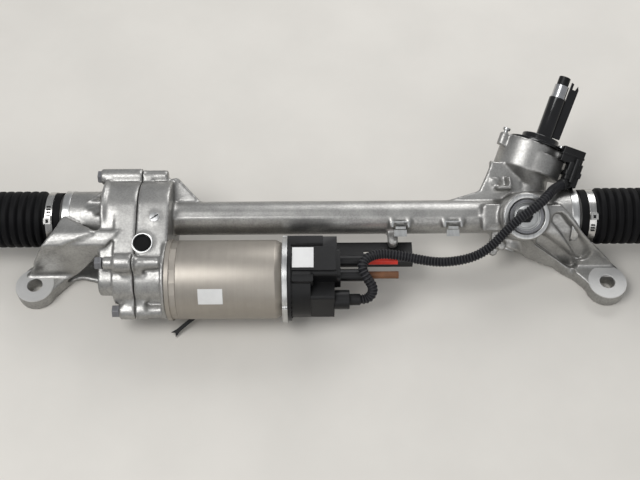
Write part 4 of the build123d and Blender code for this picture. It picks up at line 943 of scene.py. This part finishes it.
class STEERINGRACK_OT_bellows(bpy.types.Operator):
    """Folded bellows, each in two lengths: one from the cuff on the neck to the split, the other from the
    split to the tip on the tie rod
    """

    bl_idname = "steering_rack.bellows"
    bl_label = "Bellows"

    def execute(self, context):
        sizes = context.scene.steering_rack_sizes
        pitch = sizes.fold_pitch
        # places along the rack, from the cuff on the neck to the tip on the tie rod
        start, first_fold, split, end = 0.306, 0.3265, 0.415, 0.556
        tip_length, taper_length = 0.028, 0.014
        crest_radius, cuff_radius, cuff_bore, tip_radius, wall = 0.0336, 0.0315, 0.0291, 0.0100, 0.0016
        clamp_groove = 0.0012
        last_fold = first_fold + int((end - tip_length - first_fold) / pitch) * pitch
        folds = int(round((last_fold - first_fold) / pitch))
        x = np.concatenate([np.linspace(start, first_fold - 0.0005, 8),
                            np.linspace(first_fold, last_fold, folds * 12 + 1),
                            np.linspace(last_fold + 0.001, end, 14)])
        # a fold is a wide lobe between narrow grooves: the height falls off as a bell curve at each groove
        turn = (x - first_fold) / pitch
        off_groove = np.abs(turn - np.round(turn))
        wave = 1 - np.exp(-(off_groove / 0.15) ** 2)
        wave = np.where((x >= first_fold) & (x <= last_fold), wave, 0)
        taper = rise(x, last_fold, last_fold + taper_length)
        outer = crest_radius - sizes.fold_depth * (1 - wave)
        cuff = cuff_radius - clamp_groove * np.clip((x - first_fold + 0.003) / 0.0025, 0, 1)
        outer = np.where(x < first_fold, cuff, outer)
        outer = outer * (1 - taper) + tip_radius * taper
        inner = np.where(x < first_fold - 0.002, cuff_bore, outer - wall)
        # the ridge is a narrow band on each side of a lobe's crest, where the paler painted highlight goes
        crest = np.clip(1 - np.abs(off_groove - 0.32) / 0.08, 0, 1) * (wave > 0)
        for side, name in SIDES:
            lengths = []
            for label, chosen in (("inner", x <= split), ("outer", x >= x[x <= split][-1])):
                profile = np.vstack([np.column_stack([side * x[chosen], outer[chosen]]),
                                     np.column_stack([side * x[chosen], inner[chosen]])[::-1]])
                ridge = np.concatenate([crest[chosen], np.zeros(chosen.sum())])
                piece = turned_piece(f"bellows_{name}_{label}", profile, ALONG_RACK, "bellows_rubber", None,
                                     segments=72, ring=True, ridge=ridge, sharp=80.0)
                stand_in(f"bellows_{name}")
                lengths.append(piece)
            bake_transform(lengths[0])
            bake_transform(lengths[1])
        return {"FINISHED"}


class STEERINGRACK_OT_motor(bpy.types.Operator):
    """Motor can with its rolled end, its flange and the electronics ring"""

    bl_idname = "steering_rack.motor"
    bl_label = "Motor"

    def execute(self, context):
        can = eased([(-0.1630, 0.0425), (-0.1630, MOTOR_RADIUS), (-0.0520, MOTOR_RADIUS), (-0.0445, 0.0415),
                     (-0.0440, 0.0150), (-0.0580, 0.0150), (-0.0580, 0.0425)], 0.0008)
        piece = turned_piece("motor_can_turned", can, ALONG_MOTOR, "motor_steel", "housing", segments=160,
                             ring=True)
        stand_in("motor_can")
        eased_copy("motor_flange", 0.0003, material="motor_steel", angle=10.0)
        eased_copy("ecu_ring", 0.0005)
        return {"FINISHED"}


class STEERINGRACK_OT_plain_parts(bpy.types.Operator):
    """Moulded and steel parts that keep their CAD shape, with rounded edges"""

    bl_idname = "steering_rack.plain_parts"
    bl_label = "Moulded and steel parts"

    def execute(self, context):
        for name, width in (("ecu_cover", 0.0012), ("power_connector", 0.0008), ("cable_tray", 0.0005),
                            ("signal_plug", 0.0008), ("plug_boot", 0.0006), ("large_clamps", 0.0002),
                            ("shaft_end_cap", 0.0006), ("yoke_plug", 0.0005),
                            ("power_cable_red", 0.0002), ("power_cable_brown", 0.0002)):
            eased_copy(name, width)
        eased_copy("case_bolts", 0.0005, material="lamination_steel")
        return {"FINISHED"}


class STEERINGRACK_OT_cover_blocks(bpy.types.Operator):
    """Lid, steps and rim ribs of the electronics cover"""

    bl_idname = "steering_rack.cover_blocks"
    bl_label = "Electronics cover blocks"

    def execute(self, context):
        for label, outline, top in (("lid", box(0.0500, 0.0320, (-0.0085, 0.0010)), LID_TOP),
                                    ("lid_step", box(0.0240, 0.0120, (-0.0210, -0.0210)), 0.0400),
                                    ("rear_ledge", box(0.0240, 0.0090, (-0.0150, 0.0215)), 0.0390)):
            plate_piece("ecu_cover_" + label, eased(outline, 0.0015), 0.0300, top, OVER_MOTOR,
                        "black_plastic", "housing", edge=0.0008)
        turns = np.linspace(0, 2 * pi, 36, endpoint=False)
        round_boxes("ecu_cover_ribs", box(0.0042, 0.0034, (-0.0350, 0)), 0.0425, 0.0452, MOTOR_LINE, turns,
                    "black_plastic")
        return {"FINISHED"}


class STEERINGRACK_OT_sensor_cap(bpy.types.Operator):
    """Cap and screws of the torque sensor's drum"""

    bl_idname = "steering_rack.sensor_cap"
    bl_label = "Sensor cap"

    def execute(self, context):
        eased_copy("cap_screws", 0.0004, shift=DRUM_SHIFT)
        disc = eased([(0.0900, 0), (0.0900, 0.0355), (0.0930, 0.0355), (0.0930, 0.0240), (0.0945, 0.0230),
                      (0.1005, 0.0226), (0.1015, 0.0215), (0.1015, 0.0190), (0.1005, 0.0175),
                      (0.1030, 0.0125), (0.1035, 0)], 0.0006, closed=False)
        middle = (PINION_FOOT - 0.003 * PINION_SIDE, PINION_UP, PINION_SIDE, -YOKE_UP)
        cap = turned_piece("sensor_cap_turned", disc, middle, "gloss_black_plastic", "housing")
        stand_in("sensor_cap")
        return {"FINISHED"}


class STEERINGRACK_OT_sensor_connector(bpy.types.Operator):
    """Connector on the drum: plug, collar, latch and shell, with the outlet that the conduit leaves by"""

    bl_idname = "steering_rack.sensor_connector"
    bl_label = "Sensor connector"

    def execute(self, context):
        pieces = []
        for label, start, end, outline in (
                ("plug", 0.0520, 0.0800, box(0.0170, 0.0200, (0.0395, -0.0310))),
                ("collar", 0.0640, 0.0700, box(0.0195, 0.0225, (0.0395, -0.0310))),
                ("latch", 0.0560, 0.0850, box(0.0060, 0.0040, (0.0395, -0.0430))),
                ("shell", 0.0780, 0.0960, box(0.0270, 0.0190, (0.0330, -0.0295))),
                ("shell_rib", 0.0860, 0.0885, box(0.0285, 0.0205, (0.0330, -0.0295)))):
            pieces.append(plate_piece("sensor_connector_" + label, eased(outline, 0.0025), start, end,
                                      ALONG_PINION, "black_plastic", "housing", edge=0.0006))
        root, tip = np.array(CONDUIT_ROUTE[-1]), np.array(CONDUIT_ROUTE[-2])
        heading = (tip - root) / np.linalg.norm(tip - root)
        side = np.cross(heading, (0, 0, 1))
        side /= np.linalg.norm(side)
        outlet = (root, heading, side, np.cross(heading, side))
        sleeve = eased([(-0.0200, 0), (-0.0200, 0.0072), (-0.0010, 0.0072), (0.0, 0.0064), (0.0, 0)], 0.0005,
                       closed=False)
        pieces.append(turned_piece("sensor_connector_outlet", sleeve, outlet, "black_plastic", "housing",
                                   segments=48))
        for piece in pieces:
            stand_in("sensor_connector")
        return {"FINISHED"}


class STEERINGRACK_OT_shaft_guard(bpy.types.Operator):
    """Guard on the input shaft: a sleeve and the wide flag beside it"""

    bl_idname = "steering_rack.shaft_guard"
    bl_label = "Shaft guard"

    def execute(self, context):
        body = body_of_node("shaft_guard")
        plastic = SLOTS["shaft_guard"]
        sleeve = [(0.0975, 0.0091), (0.0975, 0.0112), (0.1000, 0.0100), (0.1515, 0.0100), (0.1520, 0.0096),
                  (0.1520, 0.0091)]
        guard = turned_piece("shaft_guard_sleeve", sleeve, ALONG_PINION, plastic, body, ring=True)
        flag = mm([(105, 9.5), (105, 19), (169, 20.5), (174, 18.5), (168, 16.5), (168, 13), (175, 13),
                   (176, 10), (150, 9.5)])
        across_flag = (PINION_FOOT, YOKE_UP, PINION_UP, PINION_SIDE)
        blade = plate_piece("shaft_guard_flag", flag, -0.0015, 0.0015, across_flag, plastic, body)
        for piece in (guard, blade):
            stand_in("shaft_guard")
        return {"FINISHED"}


class STEERINGRACK_OT_plugs(bpy.types.Operator):
    """Rubber plug with its rim, and slotted screw plug, in the belt case"""

    bl_idname = "steering_rack.plugs"
    bl_label = "Plugs"

    def execute(self, context):
        plug = case_place(RUBBER_PLUG)
        dome = eased([(0.0430, 0), (0.0430, 0.0102), (0.0468, 0.0102), (0.0472, 0.0085), (0.0464, 0.0075),
                      (0.0464, 0)], 0.0004, closed=False)
        turned_piece("rubber_plug", dome, plug, "bellows_rubber", "housing", segments=64)
        rim = eased([(0.0440, 0.0104), (0.0474, 0.0104), (0.0474, 0.0122), (0.0440, 0.0122)], 0.0004)
        turned_piece("rubber_plug_rim", rim, plug, "machined_aluminium", "housing", segments=64, ring=True)
        screw = case_place(SCREW_PLUG)
        head = eased([(0.0430, 0), (0.0430, 0.0058), (0.0462, 0.0058), (0.0462, 0)], 0.0005, closed=False)
        turned_piece("screw_plug", head, screw, "zinc_steel", "housing", segments=48)
        # a thin black plate on the head, painted as the shade in the plug's slot
        slanted = np.array(((0.82, 0.57), (-0.57, 0.82)))
        plate_piece("screw_plug_slot_shade", box(0.0104, 0.0014) @ slanted, 0.0450, 0.04627, screw, "belt_rubber",
                    "housing", edge=0)
        return {"FINISHED"}


class STEERINGRACK_OT_tube_details(bpy.types.Operator):
    """Parting rib of the long tube and the harness clips on it"""

    bl_idname = "steering_rack.tube_details"
    bl_label = "Tube rib and clips"

    def execute(self, context):
        plate_piece("tube_rib", box(0.3650, 0.0018, (0.0075, 0.0004)), 0.0180, 0.0207, SEEN, "cast_aluminium",
                    "housing", edge=0.0005)
        for number, place in enumerate(CLIP_PLACES):
            for label, outline, start, end in (
                    ("wire", box(0.0200, 0.0018, (place, -0.0055)), 0.0215, 0.0233),
                    ("wire_left", box(0.0018, 0.0060, (place - 0.0095, -0.0085)), 0.0215, 0.0233),
                    ("wire_right", box(0.0018, 0.0060, (place + 0.0095, -0.0085)), 0.0215, 0.0233),
                    ("hook", box(0.0120, 0.0030, (place, -0.0125)), 0.0190, 0.0232),
                    ("plate", box(0.0150, 0.0075, (place, -0.0185)), 0.0185, 0.0205),
                    ("lip", box(0.0150, 0.0014, (place, -0.0220)), 0.0185, 0.0225)):
                plate_piece(f"harness_clip_{label}_{number}", outline, start, end, SEEN, "zinc_steel",
                            "housing", edge=0.0003)
        return {"FINISHED"}


class STEERINGRACK_OT_clamp_details(bpy.types.Operator):
    """Slots and closed ears of the large bellows clamps, with painted shade in each ear's gap"""

    bl_idname = "steering_rack.clamp_details"
    bl_label = "Clamp slots and ears"

    def execute(self, context):
        # turns in degrees about the rack's line: the slots' and the ear's
        turns = {"left": ((98, 104, 110, 116, 122), 128), "right": ((144, 150, 156), 126)}
        for side, name in SIDES:
            slots, ear = turns[name]
            for label, size, x_place, low, high, places, material in (
                    ("slots", (0.0046, 0.0014), 0.3180, 0.0329, 0.03345, slots, "belt_rubber"),
                    ("ear", (0.0085, 0.0070), 0.3185, 0.0330, 0.0362, (ear,), "stainless"),
                    # the ear's gap is a black block, painted as the shade inside the closed ear
                    ("ear_gap_shade", (0.0034, 0.0040), 0.3185, 0.0355, 0.03625, (ear,), "belt_rubber")):
                round_boxes(f"clamp_{label}_{name}", box(*size, (side * x_place, 0)), low, high, RACK_LINE,
                            np.radians(places), material)
        return {"FINISHED"}


class STEERINGRACK_OT_strap_end(bpy.types.Operator):
    """Cut end of a cable strap under the motor"""

    bl_idname = "steering_rack.strap_end"
    bl_label = "Strap end"

    def execute(self, context):
        foot = MOTOR_LINE + (-0.149, 0, 0) - MOTOR_RADIUS * TOOTH_LINE - 0.0105 * YOKE_UP
        strap = (foot, YOKE_UP, (-0.78, 0, 0) - 0.62 * TOOTH_LINE, (-0.62, 0, 0) + 0.78 * TOOTH_LINE)
        outline = mm([(-6, -2.4), (12, -2.0), (24, -2.4), (31, -4.2), (28, 0), (32, 3.6), (24, 2.4),
                      (10, 2.6), (-6, 2.4)])
        plate_piece("strap_end", outline, -0.0016, 0.0002, strap, "belt_rubber", "housing")
        return {"FINISHED"}


class STEERINGRACK_OT_labels(bpy.types.Operator):
    """Blank labels: one bent round the motor and one flat on the electronics cover"""

    bl_idname = "steering_rack.labels"
    bl_label = "Blank labels"

    def execute(self, context):
        turn = np.radians(np.linspace(-33.5, -9.5, 16))
        along = np.array((-0.1375, -0.1100))[:, None]
        layers = []
        for reach in (MOTOR_RADIUS - 0.0002, MOTOR_RADIUS + 0.0001):
            layer = np.broadcast_arrays(along, reach * np.cos(turn), reach * np.sin(turn))
            layers.append(np.stack(layer, axis=-1))
        grid = np.concatenate([layers[0], layers[1][:, ::-1]], axis=1)
        count = grid.shape[1]
        faces = grid_faces(2, count, False, True).tolist()
        faces += [list(range(count)), list(range(count, 2 * count))[::-1]]
        new_piece("motor_label", placed(grid.reshape(-1, 3), AROUND_MOTOR), faces, "label_paper", "housing")

        on_lid = ((0, 0, MOTOR_LINE[2] + LID_TOP + 0.0001), (0, 0, 1), (1, 0, 0), (0, 1, 0))
        plate_piece("cover_label", box(0.0240, 0.0265, (-0.0205, -0.0110)), -0.0002, 0.00015, on_lid,
                    "label_paper", "housing", edge=0)
        return {"FINISHED"}


class STEERINGRACK_OT_yoke_ring(bpy.types.Operator):
    """Knurled lock ring of the yoke plug, the machined rim round it and a black hexagon painted as the shade
    in the plug's socket
    """

    bl_idname = "steering_rack.yoke_ring"
    bl_label = "Yoke ring"

    def execute(self, context):
        # four points for each of 48 teeth, two of them raised
        notches = np.arange(48 * 4)
        bottom, top, hole, tooth_foot, tooth_height = 0.0462, 0.0474, 0.0166, 0.0192, 0.0010
        reach = tooth_foot + tooth_height * (notches % 4 < 2)
        turn = notches / len(notches) * 2 * pi
        rows = []
        for height, radius in ((bottom, hole), (bottom, reach), (top, reach), (top, hole)):
            row = np.broadcast_arrays(height, radius * np.cos(turn), radius * np.sin(turn))
            rows.append(np.column_stack(row))
        ring = np.concatenate(rows)
        faces = grid_faces(4, len(turn), True, True).tolist()
        knurl = new_piece("yoke_ring_knurl", placed(ring, ALONG_YOKE), faces, "lamination_steel", "housing")
        profile = eased([(0.0440, 0.0212), (0.0478, 0.0212), (0.0480, 0.0262), (0.0440, 0.0265)], 0.0006)
        rim = turned_piece("yoke_ring_rim", profile, ALONG_YOKE, "machined_aluminium", "housing", ring=True)
        # a black hexagon just over the plug's top, painted as the shade in its socket
        plate_piece("yoke_plug_socket_shade", circle(0.0072, count=6), 0.0420, 0.04655, ALONG_YOKE, "belt_rubber",
                    "housing", edge=0)
        for piece in (rim, knurl):
            stand_in("yoke_lock_ring")
        return {"FINISHED"}


def add_floor(scene, colour):
    """A wide painted floor just under the part's lowest point."""
    height = -0.0193
    x, y = np.meshgrid(np.linspace(-4, 4, 9), np.linspace(-4, 4, 9), indexing="ij")
    points = np.stack([x, y, np.full_like(x, height)], axis=-1).reshape(-1, 3)
    mesh = bpy.data.meshes.new("floor")
    mesh.from_pydata(points.tolist(), [], grid_faces(9, 9, False, False)[:, ::-1].tolist())
    floor = bpy.data.objects.new("floor", mesh)
    scene.collection.objects.link(floor)
    tree, shader, where = blank_material("floor_paint")
    patches = ramp(tree, noise(tree, where, 6.0), 0.3, 0.7)
    feed(tree, shader.inputs["Base Color"], mixed(tree, patches, rgba(colour, 0.97), rgba(colour, 1.03)))
    feed(tree, shader.inputs["Roughness"], 0.7)
    mesh.materials.append(MATERIALS["floor_paint"])


def add_lamp(scene, name, spot, target, size, power):
    """A square lamp at a spot, turned to its target."""
    lamp = bpy.data.lights.new(name, "AREA")
    lamp.shape, lamp.size, lamp.energy = "SQUARE", size, power
    light = bpy.data.objects.new(name, lamp)
    light.location = spot
    light.rotation_euler = (target - spot).to_track_quat("-Z", "Y").to_euler()
    scene.collection.objects.link(light)


def add_camera(scene):
    """The photograph's view: from the front and above, with a slight roll."""
    roll = radians(0.36)
    forward, upward = Vector((0, 0.552, -0.834)).normalized(), Vector((0, 0.834, 0.552)).normalized()
    right = Vector((cos(roll), 0, 0)) - sin(roll) * upward
    above = Vector((sin(roll), 0, 0)) + cos(roll) * upward
    lens = bpy.data.cameras.new("camera")
    lens.sensor_width, lens.lens = 36.0, 52.875
    lens.clip_start, lens.clip_end = 0.05, 20.0
    camera = bpy.data.objects.new("camera", lens)
    turn = Matrix((right, above, -forward)).transposed().to_4x4()
    camera.matrix_world = Matrix.Translation((-0.0011, -0.575, 0.962)) @ turn
    scene.collection.objects.link(camera)
    scene.camera = camera


class STEERINGRACK_OT_stage(bpy.types.Operator):
    """Floor, lights, world and camera"""

    bl_idname = "steering_rack.stage"
    bl_label = "Stage"

    def execute(self, context):
        scene = context.scene
        add_floor(scene, tuple(scene.steering_rack_colours.floor))
        for name, spot, target, size, power in (
                ("key_light", (-0.9, -0.5, 1.9), (0, 0.05, 0), 1.1, 24.0),
                ("rear_light", (0.6, 1.5, 1.3), (0, 0.05, 0), 1.2, 18.0),
                ("front_light", (0.4, -1.7, 1.0), (0, 0, 0), 1.4, 7.0)):
            add_lamp(scene, name, Vector(spot), Vector(target), size, power)
        world = bpy.data.worlds.new("studio")
        world.use_nodes = True
        sky = world.node_tree.nodes["Background"].inputs
        sky["Color"].default_value = (0.92, 0.94, 0.97, 1)
        sky["Strength"].default_value = 0.40
        scene.world = world
        add_camera(scene)
        scene.view_settings.view_transform = "Standard"
        return {"FINISHED"}


OPERATORS = (
    STEERINGRACK_OT_finishes, STEERINGRACK_OT_stage, STEERINGRACK_OT_sensor_conduit,
    STEERINGRACK_OT_castings, STEERINGRACK_OT_machined_faces, STEERINGRACK_OT_bellows,
    STEERINGRACK_OT_motor, STEERINGRACK_OT_plain_parts, STEERINGRACK_OT_cover_blocks,
    STEERINGRACK_OT_sensor_cap, STEERINGRACK_OT_sensor_connector, STEERINGRACK_OT_shaft_guard,
    STEERINGRACK_OT_plugs, STEERINGRACK_OT_tube_details, STEERINGRACK_OT_clamp_details,
    STEERINGRACK_OT_strap_end, STEERINGRACK_OT_labels, STEERINGRACK_OT_yoke_ring,
)


class STEERINGRACK_PT_panel(bpy.types.Panel):
    """Buttons and settings for the steering rack"""

    bl_idname = "STEERINGRACK_PT_panel"
    bl_label = "Steering rack"
    bl_space_type = "VIEW_3D"
    bl_region_type = "UI"
    bl_category = "Steering rack"

    def draw(self, context):
        for settings in (context.scene.steering_rack_sizes, context.scene.steering_rack_colours):
            group = self.layout.box()
            for field in settings.bl_rna.properties.keys():
                if field not in {"rna_type", "name"}:
                    group.prop(settings, field)
        for operator in OPERATORS:
            self.layout.operator(operator.bl_idname)


CLASSES = (SteeringRackSizes, SteeringRackColours) + OPERATORS + (STEERINGRACK_PT_panel,)


def register():
    """Register the classes and hang the settings on the scene."""
    for part in CLASSES:
        bpy.utils.register_class(part)
    bpy.types.Scene.steering_rack_sizes = bpy.props.PointerProperty(type=SteeringRackSizes)
    bpy.types.Scene.steering_rack_colours = bpy.props.PointerProperty(type=SteeringRackColours)


def unregister():
    """Take the settings off the scene and unregister the classes."""
    del bpy.types.Scene.steering_rack_colours
    del bpy.types.Scene.steering_rack_sizes
    for part in reversed(CLASSES):
        bpy.utils.unregister_class(part)


def main():
    """Register the add-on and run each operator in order."""
    register()
    for operator in OPERATORS:
        family, action = operator.bl_idname.split(".")
        getattr(getattr(bpy.ops, family), action)()


if __name__ == "__main__":
    main()
